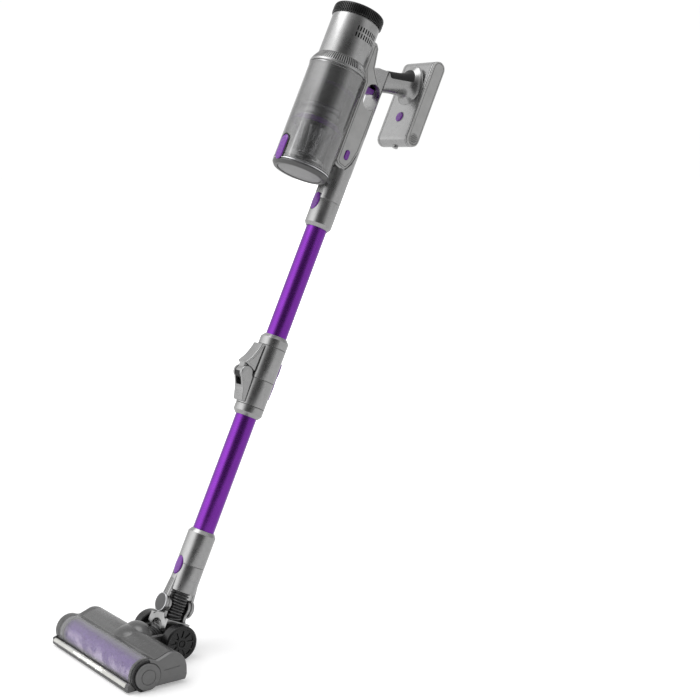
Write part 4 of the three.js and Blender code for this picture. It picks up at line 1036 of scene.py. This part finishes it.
def build_fold_joint():
    upper = turn(fillet([
        (20.5, FOLD_SEAM + 0.3), (JOINT_R, FOLD_SEAM + 0.3, 0.4), (JOINT_R, 486.6, 0.1),
        (JOINT_R - 0.6, 486.75, 0.1),
        (JOINT_R - 0.6, 487.55, 0.1), (JOINT_R, 487.7, 0.1), (JOINT_R, UPPER_JOINT_TOP, 0.9),
        (19, UPPER_JOINT_TOP + SHOULDER, 0.6), (TUBE_R + 0.15, UPPER_JOINT_TOP + SHOULDER),
        (TUBE_R + 0.15, 466), (20.5, 462),
    ], 0.3, 4), segments=192)
    upper = carve(upper, block(-7, 7, 15, 30, FOLD_SEAM - 5, 472))
    publish("upper_joint_shell", upper, "upper_wand", GUNMETAL, "upper_joint_housing")
    lower = turn(fillet([
        (TUBE_R + 0.15, LOWER_JOINT_BOTTOM - SHOULDER), (19, LOWER_JOINT_BOTTOM - SHOULDER, 0.6),
        (JOINT_R, LOWER_JOINT_BOTTOM, 0.9),
        (JOINT_R, 385.6, 0.1), (JOINT_R - 0.6, 385.75, 0.1), (JOINT_R - 0.6, 386.55, 0.1),
        (JOINT_R, 386.7, 0.1),
        (JOINT_R, FOLD_SEAM - 0.3, 0.4), (20.5, FOLD_SEAM - 0.3), (20.5, 404), (TUBE_R + 0.15, 400),
    ], 0.3, 4), segments=192)
    lower = carve(lower, block(-7, 7, 21.2, 30, 399, FOLD_SEAM + 5))
    publish("lower_joint_shell", lower, "lower_wand", GUNMETAL, "lower_joint_housing")
    for name, body, z in (("upper_joint_line", "upper_wand", 487.15),
                          ("lower_joint_line", "lower_wand", 386.15)):
        publish(name, ring(JOINT_R - 0.25, JOINT_R - 1, z - 0.45, z + 0.45, 0.1, segments=128), body, LINE_AND_GROOVE_SHADE)

    front_edge = spline([(-28.3, 486), (-31.6, 474), (-37.2, 461), (-44.8, 449.6)], 8)
    wedge = slab([(-20, 439), (-20, 486)] + front_edge + [(-44.9, 449.3), (-44.2, 447.7), (-37, 444.7)],
                 -KNUCKLE_HALF, KNUCKLE_HALF, edge=1.4, steps=4)
    wedge = carve(wedge, rod(11.7, -20, 20, 0, **ON_FOLD, segments=96))
    inset = [(y + 3.6, z - 0.8) for y, z in front_edge[2:]] + [(-37.2, 448.6), (-26.2, 446.2)]
    ribbon = inset + [(y + 0.6, z + 0.35) for y, z in reversed(inset)]
    gap = [(-24.6, 437), (-24.6, 441), (-23.4, 484), (-22.6, 484), (-18, 484), (-18, 437)]
    for low, high in ((KNUCKLE_HALF - 0.5, KNUCKLE_HALF + 3), (-KNUCKLE_HALF - 3, -KNUCKLE_HALF + 0.5)):
        wedge = carve(wedge, slab(ribbon, low, high),
                      slab(gap, low - 4.5 if low > 0 else low, high if low > 0 else high + 4.5))
    tongue = fuse(
        rod(10.6, -TONGUE_HALF, TONGUE_HALF, 0.5, **ON_FOLD, segments=96),
        slab([(-28.5, 432), (-43.5, 432), (-44, 450), (-28.5, 450)], -TONGUE_HALF, TONGUE_HALF),
    )
    arm = carve(fuse(wedge, tongue), rod(JOINT_R + 0.3, 400, 520, 0, segments=192))
    publish("fold_wedge", arm, "upper_wand", GUNMETAL, "fold_arm")

    cheek = fuse(
        slab(fillet([
            (-45.4, 430, 8), (-34, 409, 14), (-27.5, 388.5, 2.5), (-20, 388), (-22, FOLD_SEAM - 2),
            (-27, 437, 0),
        ], 0.6, 8), -KNUCKLE_HALF, KNUCKLE_HALF, edge=1.8, steps=5),
        rod(11.2, -KNUCKLE_HALF, KNUCKLE_HALF, 1.8, **ON_FOLD, segments=96),
    )
    slot = slab([(-60, 412), (-60, 460), (-26.5, 460), (-26.5, 412)], -TONGUE_HALF - 0.4, TONGUE_HALF + 0.4)
    turning = rod(11.0, -TONGUE_HALF - 0.4, TONGUE_HALF + 0.4, 0, **ON_FOLD, segments=96)
    cheek = carve(cheek, slot, turning, rod(JOINT_R + 0.3, 380, 520, 0, segments=192))
    publish("fold_hinge_knuckle", cheek, "lower_wand", GUNMETAL, "fold_knuckle")
    # A dark block behind the knuckle's window: painted shade inside the slot.
    publish("knuckle_window_shade", block(-TONGUE_HALF - 0.3, TONGUE_HALF + 0.3, -28.6, -26.8, 412.4, 424,
                                         0.3), "lower_wand",
            DARK_AND_SHADE)
    sleeve = slab(arc(FOLD_Y, FOLD_Z, 10.75, 184, 262, 24) + arc(FOLD_Y, FOLD_Z, 9.4, 262, 184, 24),
                  -TONGUE_HALF + 0.2,
                  TONGUE_HALF - 0.2, edge=0.2)
    publish("hinge_barrel_shade", sleeve, "upper_wand", DARK_AND_SHADE)
    pin = rod(3, -12.6, 12.6, 0.6, **ON_FOLD, segments=48)
    publish("fold_hinge_pin", pin, "upper_wand", STEEL, "hinge_pin")
    latch = slab(fillet([
        (22, 404), (26.3, 406, 2), (27, 428, 6), (26.3, 440, 6), (27.6, 452, 6), (27, 468, 2), (22, 470),
    ], 0.8, 6), -6.4, 6.4, edge=1.1, steps=4)
    publish("fold_latch_hook", latch, "fold_latch", PURPLE, "fold_latch")


def corrugated(path, radius, depth, pitch, wide=(1.0, 1.0)):
    """A ribbed hose wall along a smooth path; wide stretches it sideways at its two ends."""
    thickness = 1.6
    around, per_ridge = 64, 10
    line = [Vector(p) for p in spline(path, 24)] + [Vector(path[-1])]
    lengths = [0.0]
    for a, b in zip(line, line[1:]):
        lengths.append(lengths[-1] + (b - a).length)
    total = lengths[-1]
    count = int(total / pitch * per_ridge)
    outer, inner = [], []
    for i in range(count + 1):
        s = total * i / count
        k = next(j for j in range(len(lengths) - 1) if lengths[j + 1] >= s - 1e-9)
        t = (s - lengths[k]) / max(1e-9, lengths[k + 1] - lengths[k])
        centre = line[k].lerp(line[k + 1], t)
        ahead = line[min(k + 2, len(line) - 1)] - line[max(k - 1, 0)]
        ahead.normalize()
        normal = ahead.cross(SIDE).normalized()
        wave = 0.5 + 0.5 * math.cos(2 * math.pi * s / pitch)
        r = radius - depth * (1 - wave ** 0.6)
        flat = wide[0] + (wide[1] - wide[0]) * s / total
        for rows, size in ((outer, r), (inner, r - thickness)):
            rows.append([centre + SIDE * size * flat * math.cos(a) + normal * size * math.sin(a)
                         for a in (2 * math.pi * n / around for n in range(around))])
    return loft(outer + inner[::-1] + [outer[0]], capped=False)


def build_fold_hose():
    hose = corrugated([(0, 0, 402), (0, 0, 432), (0, 0, 463)], 16.4, 1.6, 5)
    publish_bending("fold_hose_bellows", hose, ("upper_wand", "lower_wand"), ((0, 0, 452), (0, 0, 412)),
                    HOSE_BLACK, "fold_hose")


def build_lower_socket():
    body = turn(fillet([
        (20.1, HEAD_SEAM + 0.3), (SOCKET_R, HEAD_SEAM + 0.3, 0.5), (SOCKET_R, SOCKET_TOP, 1.2),
        (18.9, SOCKET_TOP + SHOULDER, 0.5),
        (TUBE_R + 0.15, SOCKET_TOP + SHOULDER), (TUBE_R + 0.15, 162), (16.6, 162), (16.6, 160), (20.1, 160),
    ], 0.3, 5), segments=160)
    publish("lower_wand_socket", carve(body, button_pocket(LOWER_BUTTON_Z)), "lower_wand", GUNMETAL,
            "lower_socket")
    oval_button("lower_oval_button", LOWER_BUTTON_Z, "head_button", "head_button")


# ---------------------------------------------------------------- neck and swivel
def build_neck():
    tube = turn(fillet([
        (18.5, NECK_BOTTOM), (SOCKET_R, NECK_BOTTOM, 0.8), (SOCKET_R, HEAD_SEAM - 0.1, 0.5),
        (PLUG_R, HEAD_SEAM - 0.1, 0),
        (PLUG_R, HEAD_SEAM + PLUG_LENGTH - 2), (PLUG_R - 1, HEAD_SEAM + PLUG_LENGTH),
        (16.5, HEAD_SEAM + PLUG_LENGTH),
        (16.5, HEAD_SEAM - 14), (18.5, HEAD_SEAM - 17),
    ], 0.3, 5), segments=160)
    bosses = [rod(15, *sorted((sign * (EAR_OUT + 0.3), sign * CHEEK_OUT)), 1.2, **ON_SWIVEL, segments=96)
              for sign in (-1, 1)]
    strips = fuse(slab(fillet([(-7.6, 52), (7.6, 52), (6.6, 101), (-6.6, 101)], 2), -28, -21.8, "xz"),
                  slab(fillet([(-7.6, 52), (7.6, 52), (6.6, 101), (-6.6, 101)], 2), 21.8, 28, "xz"))
    taper = turn([(0, 50), (CHEEK_OUT, 50), (CHEEK_OUT, 58), (24.4, 84), (SOCKET_R - 0.2, 101), (0, 101)],
                 segments=192)
    cheeks = fuse(keep(strips, taper), *bosses)
    body = carve(
        fuse(tube, cheeks), rod(5.3, -40, 40, 0, **ON_SWIVEL),
        rod(18.5, 40, HEAD_SEAM - 18, 0, segments=128),
        button_pocket(LOWER_BUTTON_Z),
    )
    grips = []
    lean = math.atan2(CHEEK_OUT - 24.4, 84 - 58)
    for k in range(4):
        groove = block(-0.6, 0.6, -0.9, 0.9, -15, 15)
        moved(groove, Matrix.Translation((-4.5 + 3 * k, -25.7, 74)) @ Matrix.Rotation(-lean, 4, "X"))
        grips.append(groove)
    body = carve(body, group(*grips))
    publish("neck_shell", body, "neck", GUNMETAL, "neck_tube", sharp=38)


def build_yoke():
    low = [(-11, 37, 4), (-11.5, 28, 6), (-18, 25, 6), (-27, 21, 5), (-27, 11, 3), (-17.5, 10, 2)]
    hollow = [(16.6 * math.cos(math.pi * k / 24), 6 + 15 * math.sin(math.pi * k / 24), 0) for k in range(24,
        -1, -1)]
    ear = fillet([(a, b, 0) for a, b in arc(0, SWIVEL_Z, 14, -10, 190, 40)] + low + hollow
                 + [(-a, b, r) for a, b, r in reversed(low)], 1, 5)
    ears = [slab(ear, low, high, "xz", edge=0.9) for low, high in ((-EAR_OUT, -EAR_IN), (EAR_IN, EAR_OUT))]
    arm = [(-EAR_OUT, 27), (-EAR_OUT, 13), (-11, -2)] + arc(0, 0, 11, 190, 350, 24) + [(11, -2),
        (EAR_OUT, 13), (EAR_OUT, 27)]
    arms = [slab(arm, low, high, "yz", edge=1.2) for low, high in ((19, 27), (-27, -19))]
    pins = [
        rod(5, -CHEEK_OUT, -EAR_IN - 1, 0.3, **ON_SWIVEL),
        rod(5, EAR_IN + 1, CHEEK_OUT + 1, 0.3, **ON_SWIVEL),
        rod(9, CHEEK_OUT + 0.3, 32, 1.6, **ON_SWIVEL),
    ]
    body = carve(fuse(*ears, *arms, *pins), rod(4.3, -40, 40, 0, axis="x", at=(0, 0)))
    publish("swivel_yoke", body, "yoke", GUNMETAL, "neck_yoke", sharp=38)
    face = turn(fillet([
        (0, -CHEEK_OUT - 0.3, 0), (15.3, -CHEEK_OUT - 0.3, 0.2), (15.3, -CHEEK_OUT - 1.4, 0.4),
        (14.6, -CHEEK_OUT - 1.8, 0.3),
        (13.9, -CHEEK_OUT - 1.8, 0.2), (13.7, -CHEEK_OUT - 1.4, 0.2), (0, -CHEEK_OUT - 1.4, 0),
    ], 0.2, 4), **ON_SWIVEL, segments=128)
    publish("swivel_cover_rim", face, "yoke", CHROME, "swivel_cap", slot="black_plastic")
    disc = rod(13.6, -CHEEK_OUT - 1.75, -CHEEK_OUT - 1.2, 0.15, **ON_SWIVEL, segments=128)
    publish("swivel_cover_disc", disc, "yoke", DISC_GREY)


def head_point(y, z):
    """A point given in the head's frame about the axle, as the wand frame sees it at rest."""
    turned = WAND.inverted() @ (HEAD @ Vector((0, AXLE_Y + y, AXLE_Z + z)))
    return (0, turned.y, turned.z)


def build_neck_hose():
    upper = corrugated([(0, 0, 94), (0, 0, 72), (0, 0, 47)], HOSE_R + 0.8, 3.0, 4.7, wide=(1.14, 1.24))
    publish_bending("neck_hose_upper", upper, ("neck", "yoke"), ((0, 0, 88), (0, 0, 52)), HOSE_BLACK)
    path = [(0, 0, 47.5), (0, 0, 34), (0, 0.5, 22), head_point(-9, 8), head_point(-22, 1),
            head_point(-42, -1.5)]
    lower = corrugated(path, HOSE_R + 0.8, 3.0, 4.7, wide=(1.24, 1.0))
    publish_bending("neck_hose_lower", lower, ("yoke", "floor_head"), ((0, 0, 38), head_point(-26, -2)),
                    HOSE_BLACK, "neck_hose")


# ---------------------------------------------------------------- floor head
REAR_CURVE = [(-17, 12), (-18, 30), (-27, 45), (-42, 50), (-56, 46), (-66, 43), (-75, 45.8)]


def head_outline(to_deg):
    return [(-20, HEAD_FLOOR)] + spline(REAR_CURVE, 8) + arc(ROLLER_Y, ROLLER_Z, WINDOW_OUT, 73, to_deg, 32)


def build_head_housing():
    shell = slab(head_outline(112) + [(-84, 30), (-60, HEAD_FLOOR)], HEAD_LEFT, HEAD_RIGHT, edge=0.6)
    quarter = [math.pi / 2 * k / 24 for k in range(25)]
    domes = []
    for centre, radii in (((0, -41, 29), (37, 31, 25)), ((0, -28.5, 30), (35, 23, 28))):
        ball = turn([(0, 0)] + [(math.cos(t), math.sin(t)) for t in quarter[:-1]] + [(0, 1)], segments=96)
        domes.append(moved(ball, Matrix.Translation(centre) @ Matrix.Diagonal((*radii, 1))))
    fork = [(-30, 12), (6, 14)] + arc(AXLE_Y, AXLE_Z, 12, -100, 100, 40) + [(-30, 42)]
    forks = [slab(fork, low, high, edge=1.2) for low, high in ((FORK_IN, FORK_OUT), (-FORK_OUT, -FORK_IN))]
    seat = keep(
        rod(WINDOW_OUT + 0.3, HEAD_LEFT - 1, HEAD_RIGHT + 1, 0, **ON_ROLLER, segments=160),
        slab([(-76.5, 0), (-140, 0), (-140, 80), (-76.5, 80)], -200, 200),
    )
    body = carve(
        fuse(shell, *domes, *forks),
        rod(WINDOW_IN - 0.3, HEAD_LEFT + 3, HEAD_RIGHT + 10, 0, **ON_ROLLER, segments=160), seat,
        rod(16.4, -60, 12, 0, axis="y", at=(0, 27), segments=96), rod(4.1, -50, 50, 0, **ON_AXLE),
    )
    publish("head_shell", body, "floor_head", HEAD_GREY, "head_housing", sharp=38)


def build_window():
    outline = arc(ROLLER_Y, ROLLER_Z, WINDOW_OUT, WINDOW_FROM, WINDOW_TO, 72) + arc(
        ROLLER_Y, ROLLER_Z, WINDOW_IN, WINDOW_TO, WINDOW_FROM, 72)
    window = slab(outline, HEAD_LEFT + 0.5, HEAD_RIGHT, edge=0.3)
    publish("curved_window", window, "floor_head", WINDOW, "roller_window")
    band = arc(ROLLER_Y, ROLLER_Z, WINDOW_OUT + 0.25, 79, 203, 72) + arc(ROLLER_Y, ROLLER_Z,
        WINDOW_IN - 0.1, 203, 79, 72)
    frame_bands = [slab(band, low, high, edge=0.25) for low, high in (
        (HEAD_LEFT + 0.6, HEAD_LEFT + 3.4), (HEAD_RIGHT - 5.4, HEAD_RIGHT - 0.2))]
    publish("window_end_bands", group(*frame_bands), "floor_head", HEAD_GREY)


def build_lip():
    outline = fillet([
        (-113.5, 7.2, 0.3), (-105, 7.2), (-105, 9.6, 0.6), (-107.5, 11.6, 1), (-110.5, 12.2, 1.5),
        (-113.5, 9.5, 1.5),
    ], 0.5, 5)
    publish("front_light_bar", slab(outline, COVER_LEFT + 4, HEAD_RIGHT - 7, edge=0.6), "floor_head",
            LIP_CLEAR,
            "front_lip")
    low = fillet([(-113.3, HEAD_FLOOR - 2), (-105, HEAD_FLOOR - 2), (-105, 7.1), (-113.3, 7.1)], 0.8, 4)
    ends = fillet([(-113.5, HEAD_FLOOR - 2), (-101, HEAD_FLOOR - 2), (-101, 14), (-107.5, 14.4),
                   (-112.5, 12.6)], 1.4, 5)
    bar = fuse(slab(low, COVER_LEFT + 1, HEAD_RIGHT + 1, edge=0.8),
               slab(ends, COVER_LEFT + 0.6, COVER_LEFT + 4, edge=0.9),
               slab(ends, HEAD_RIGHT - 6.8, HEAD_RIGHT + 2.4, edge=0.9))
    bar = carve(bar, rod(WINDOW_IN - 0.2, -140, 140, 0, **ON_ROLLER, segments=160))
    publish("lip_carrier", bar, "floor_head", HEAD_GREY, sharp=38)
    lamps = []
    for x in LAMPS_X:
        lamp = rod(2.2, -113.1, -109.4, 0.6, axis="y", at=(0, 9.2), segments=32)
        lamps.append(moved(lamp, Matrix.Translation((x, 0, 9.2)) @ Matrix.Diagonal((2.6, 1, 1,
            1)) @ Matrix.Translation((0, 0, -9.2))))
    publish("lip_lamps", group(*lamps), "floor_head", LIGHT)
    publish("lip_light_guide", block(LAMPS_X[0] - 18, LAMPS_X[2] + 18, -113.2, -110.4, 7.8, 11.2, 0.9),
            "floor_head", GUIDE)
    strip = block(HEAD_LEFT + 2, HEAD_RIGHT - 8, -106.8, -104.2, 11.4, 13.6, 0.4)
    publish("lip_seal", strip, "floor_head", SOFT_BLACK)


def build_sole():
    plate = carve(slab(fillet([(HEAD_LEFT, -113), (HEAD_RIGHT, -113), (HEAD_RIGHT, -21), (HEAD_LEFT, -21)],
                              3, 6),
                       1.5, HEAD_FLOOR - 0.3, "xy", edge=0.5),
                       block(HEAD_LEFT + 3, HEAD_RIGHT - 4, -101, -64, 0, 6))
    skids = [slab(stadium(0, -14, 14, 3.9, 10), 0, 2, "xy", edge=0.4) for _ in range(3)]
    for skid, x in zip(skids, (-75, 0, 75)):
        moved(skid, Matrix.Translation((x, -30, 0)) @ Matrix.Rotation(math.pi / 2, 4, "Z"))
    publish("sole", group(plate, *skids), "floor_head", BLACK, "sole_plate")


def build_roller():
    """A plush roller: a nap of fine uneven fibre, with a shallow wavy groove brushed along it."""
    length = HEAD_RIGHT - 5 - (HEAD_LEFT + 4)
    along, around = 420, 150

    def tuft(x, t):
        """How far round the roller a point is from the middle of the brushed strip."""
        middle = 2.85 + 0.16 * math.sin(x * 0.11) + 0.06 * math.sin(x * 0.29 + 1)
        return abs((t - middle + math.pi) % (2 * math.pi) - math.pi)

    rows = []
    for i in range(along + 1):
        x = length * i / along
        row = []
        for k in range(around):
            t = 2 * math.pi * k / around
            rough = noise.noise(Vector((x * 0.9, 11 * math.cos(t), 11 * math.sin(t)))) * 0.55
            rough += noise.noise(Vector((x * 0.23, 4 * math.cos(t), 4 * math.sin(t)))) * 0.5
            groove = 0.9 * math.exp(-(tuft(x, t) / 0.3) ** 2)
            end = 1.4 * (math.exp(-x / 2) + math.exp(-(length - x) / 2))
            r = ROLLER_R - 0.75 + rough - groove - end
            row.append((HEAD_LEFT + 4 + x, ROLLER_Y + r * math.cos(t), ROLLER_Z + r * math.sin(t)))
        rows.append(row)
    body = loft(rows)
    publish("plush_roller", body, "roller", PLUSH, "roller", sharp=80)
    hub = group(rod(12, HEAD_LEFT - 6, HEAD_LEFT - 1, 0.4, **ON_ROLLER),
                rod(5, HEAD_LEFT - 2, HEAD_LEFT + 4.4, 0.3, **ON_ROLLER))
    publish("roller_pulley", hub, "roller", BLACK, slot="purple_plush")


def build_end_covers():
    left = slab(head_outline(225), COVER_LEFT, HEAD_LEFT - 0.3, edge=2.4, steps=6)
    publish("drive_side_cover", left, "floor_head", HEAD_GREY, "end_cover_left", sharp=38)
    right = slab(head_outline(225), HEAD_RIGHT + 0.3, COVER_RIGHT, edge=2.4, steps=6)
    slot = slab(fillet([(-56, 25.8), (-30, 26.6), (-30, 28), (-56, 27.2)], 0.4), COVER_RIGHT - 0.7,
                COVER_RIGHT + 3)
    front = keep(rod(WINDOW_OUT + 0.4, HEAD_RIGHT - 5, COVER_RIGHT + 5, 0, **ON_ROLLER, segments=160),
                 block(100, 150, -130, ROLLER_Y + 4, -10, 60))
    right = carve(right, slot, front, rod(KNOB_R + 0.9, HEAD_RIGHT - 5, COVER_RIGHT + 5, 0, **ON_ROLLER,
                                          segments=160))
    publish("roller_side_cover", right, "floor_head", KNOB_GREY, "end_cover_right", sharp=38)
    toothed = turn(fillet([(KNOB_R + 0.9, HEAD_RIGHT + 0.3), (WINDOW_OUT - 0.4, HEAD_RIGHT + 0.3, 0.5),
                           (WINDOW_OUT - 0.4, COVER_RIGHT - 2, 0.8), (KNOB_R + 0.9, COVER_RIGHT - 2)], 0.3,
                           4), **ON_ROLLER, segments=480,
                           wave=comb(60, 0.9, 0.4, HEAD_RIGHT + 1.2, COVER_RIGHT - 2.6))
    under = (100, 150, -130, 0, -10, 0.6)
    toothed = carve(toothed, block(100, 150, ROLLER_Y + 3.4, 0, -10, 60), block(*under))
    publish("knob_surround", toothed, "floor_head", BLACK, sharp=38)
    seal = turn(fillet([(KNOB_R - 3, HEAD_RIGHT - 2.6), (WINDOW_IN - 0.5, HEAD_RIGHT - 2.6),
                        (WINDOW_IN - 0.5, HEAD_RIGHT + 0.2),
                        (KNOB_R - 3, HEAD_RIGHT + 0.2)], 0.5), **ON_ROLLER, segments=128)
    publish("roller_end_seal", carve(seal, block(*under)), "floor_head", SOFT_BLACK)


def build_knob():
    body = turn(fillet([
        (0, HEAD_RIGHT + 0.4, 0), (KNOB_R, HEAD_RIGHT + 0.4, 0.4), (KNOB_R, COVER_RIGHT + 1.8, 1.4),
        (11.9, COVER_RIGHT + 1.8, 0.2),
        (11.7, COVER_RIGHT + 1.1, 0.1), (11.1, COVER_RIGHT + 1.1, 0.1), (10.9, COVER_RIGHT + 2.2, 0.4),
        (0, COVER_RIGHT + 2.2, 0),
    ], 0.3, 5), **ON_ROLLER, segments=160)
    hub = rod(12, HEAD_RIGHT - 4.5, HEAD_RIGHT + 1, 0.3, **ON_ROLLER)
    publish("roller_release_knob", group(body, hub), "end_knob", KNOB_GREY, "end_knob")


def build_wheels():
    for side, name in ((1, "wheel_right"), (-1, "wheel_left")):
        body = turn(fillet([
            (4.3, WHEEL_IN), (WHEEL_R - 2, WHEEL_IN, 0.6), (WHEEL_R, WHEEL_IN + 2, 1.6),
            (WHEEL_R, WHEEL_OUT - 2.5, 1.6),
            (WHEEL_R - 2.5, WHEEL_OUT, 1.2), (22.6, WHEEL_OUT, 0.5), (21.8, WHEEL_OUT - 0.9, 0.4),
            (9, WHEEL_OUT - 0.9, 0.4),
            (8.4, WHEEL_OUT - 0.1, 0.4), (5.6, WHEEL_OUT - 0.1, 0.5), (5.2, WHEEL_OUT - 2.4, 0.3),
            (4.3, WHEEL_OUT - 2.4),
        ], 0.3, 5), axis="x", at=(0, 0), segments=160)
        pockets = []
        for k in range(10):
            start, stop = 36 * k + 3, 36 * k + 33
            outline = arc(0, 0, 20.6, start, stop, 12) + arc(0, 0, 10, stop - 6, start + 6, 8)
            pockets.append(slab(fillet(outline, 0.7, 3), WHEEL_OUT - 2.8, WHEEL_OUT + 1))
        plug = turn(fillet([(0, WHEEL_OUT - 1.6, 0), (4.2, WHEEL_OUT - 1.6), (4.2, WHEEL_OUT - 0.5, 0.4),
                            (2.6, WHEEL_OUT - 0.5),
                            (2.2, WHEEL_OUT - 1.2), (0, WHEEL_OUT - 1.2, 0)], 0.2, 3), axis="x", at=(0, 0),
                            segments=48)
        body = group(carve(body, group(*pockets)), plug)
        if side < 0:
            moved(body, Matrix.Rotation(math.pi, 4, "Z"))
        moved(body, Matrix.Translation((0, AXLE_Y, AXLE_Z)))
        publish(name + "_moulded", body, name, BLACK, name)


# ---------------------------------------------------------------- build
build_duct()
build_panel(1, "side_panel_right")
build_panel(-1, "side_panel_left")
build_handle()
build_motor_drum()
build_skirt()
build_cap()
build_trigger()
build_bin_button()
build_cup()
build_cyclone()
build_lid()
build_bin_latch()
build_battery()
build_upper_collar()
build_tubes()
build_fold_joint()
build_fold_hose()
build_lower_socket()
build_neck()
build_yoke()
build_neck_hose()
build_head_housing()
build_window()
build_lip()
build_sole()
build_roller()
build_end_covers()
build_knob()
build_wheels()

# CAD nodes whose own shape is right keep it and get a finish.
for node, material in (
    ("suction_motor", STEEL), ("impeller", CHROME), ("control_board", DARK_AND_SHADE), ("trigger_spring", STEEL),
    ("cell_pack", DARK_AND_SHADE),
    ("led_board", WHITE), ("roller_motor", STEEL), ("motor_pulley", STEEL), ("drive_belt", SOFT_BLACK),
    ("axle_right", STEEL), ("axle_left", STEEL),
):
    frame["nodes"][node].data.materials.clear()
    frame["nodes"][node].data.materials.append(material)


# ---------------------------------------------------------------- stage
CAMERA_PLACE = (1.85175, -0.96298, 0.78311)
CAMERA_YAW = 53.341
CAMERA_PITCH = 8.180
CAMERA_LENS = 70.516
FLOOR_R = 40
TENT_STRENGTH = 1.75
BACKDROP_STRENGTH = 1.02


def build_floor():
    """A pale disc that glows a little more further out, and gives the object less glow than the eye sees."""
    top, under = -0.0005, -0.05
    floor = turn([(0, top), (FLOOR_R, top), (FLOOR_R, under), (0, under)], segments=128)
    floor.name = "floor"
    paint = Surface("pale_floor", [0.84, 0.84, 0.84], 0.8, Specular_IOR_Level=0.2)
    paint.vary_colour(paint.noise(400, 2), 0.005)
    paint.shader.inputs["Emission Color"].default_value = (1, 1, 1, 1)
    distance = add_node(paint.nodes, "VectorMath")
    distance.operation = "LENGTH"
    paint.links.new(paint.coordinates, distance.inputs[0])
    brighter = paint.spread(distance.outputs["Value"], 0.36, 1.0, 0.7, 3.5)
    ray = add_node(paint.nodes, "LightPath")
    share = paint.spread(ray.outputs["Is Camera Ray"], 0.15, 1.0, 0.0, 1.0)
    glow_strength = paint.combined("MULTIPLY", brighter, share)
    paint.links.new(glow_strength, paint.shader.inputs["Emission Strength"])
    paint.material.cycles.emission_sampling = "NONE"
    floor.data.materials.append(paint.material)


def soft_lamp(name, place, target, size, power):
    data = bpy.data.lights.new(name, "AREA")
    data.shape = "RECTANGLE"
    data.size = data.size_y = size
    data.energy = power
    lamp = bpy.data.objects.new(name, data)
    bpy.context.scene.collection.objects.link(lamp)
    lamp.location = place
    lamp.rotation_euler = (Vector(target) - Vector(place)).to_track_quat("-Z", "Y").to_euler()


def build_lights():
    """A white tent with bright and dark stretches round the object, and one soft lamp overhead."""
    world = bpy.data.worlds.new("studio")
    bpy.context.scene.world = world
    world.use_nodes = True
    nodes, links = world.node_tree.nodes, world.node_tree.links
    direction = nodes.new("ShaderNodeTexCoord").outputs["Generated"]
    facing = add_node(nodes, "Mapping", Rotation=(0, 0, math.radians(90 - CAMERA_YAW)))
    links.new(direction, facing.inputs["Vector"])
    around = add_node(nodes, "TexGradient")
    around.gradient_type = "RADIAL"
    links.new(facing.outputs["Vector"], around.inputs["Vector"])
    ramp = add_node(nodes, "ValToRGB")
    stops = ((0.0, 0.50), (0.13, 0.42), (0.23, 0.80), (0.30, 1.0), (0.365, 0.98), (0.415, 0.30),
             (0.45, 0.05), (0.55, 0.03),
             (0.61, 0.12), (0.67, 0.46), (0.74, 0.36), (0.85, 0.24), (1.0, 0.50))
    elements = ramp.color_ramp.elements
    while len(elements) < len(stops):
        elements.new(0.5)
    for element, (position, _) in zip(elements, stops):
        element.position = position
    for element, (_, value) in zip(elements, stops):
        element.color = (value, value, value, 1)
    links.new(around.outputs["Fac"], ramp.inputs["Fac"])
    split = add_node(nodes, "SeparateXYZ")
    links.new(direction, split.inputs["Vector"])
    height = add_node(nodes, "MapRange", From_Min=0.55, From_Max=0.92)
    links.new(split.outputs["Z"], height.inputs["Value"])
    sky = colour_over(nodes, links, height.outputs["Result"], ramp.outputs["Color"], (0.42, 0.42, 0.42, 1))
    background = nodes["Background"]
    background.inputs["Strength"].default_value = TENT_STRENGTH
    links.new(sky, background.inputs["Color"])
    backdrop = add_node(nodes, "Background", Color=(1, 1, 1, 1), Strength=BACKDROP_STRENGTH)
    ray = add_node(nodes, "LightPath")
    mix = add_node(nodes, "MixShader")
    links.new(ray.outputs["Is Camera Ray"], mix.inputs["Fac"])
    links.new(background.outputs["Background"], mix.inputs[1])
    links.new(backdrop.outputs["Background"], mix.inputs[2])
    links.new(mix.outputs["Shader"], nodes["World Output"].inputs["Surface"])
    soft_lamp("overhead", place=(-0.6, -0.6, 3.2), target=(0, 0.25, 0.3), size=2.0, power=28)


def build_camera():
    data = bpy.data.cameras.new("camera")
    data.sensor_width = 36
    data.lens = CAMERA_LENS
    data.clip_end = 100
    camera = bpy.data.objects.new("camera", data)
    bpy.context.scene.collection.objects.link(camera)
    camera.location = CAMERA_PLACE
    camera.rotation_euler = (math.radians(90 - CAMERA_PITCH), 0, math.radians(CAMERA_YAW))
    bpy.context.scene.camera = camera
    bpy.context.scene.view_settings.view_transform = "Standard"


build_floor()
build_lights()
build_camera()
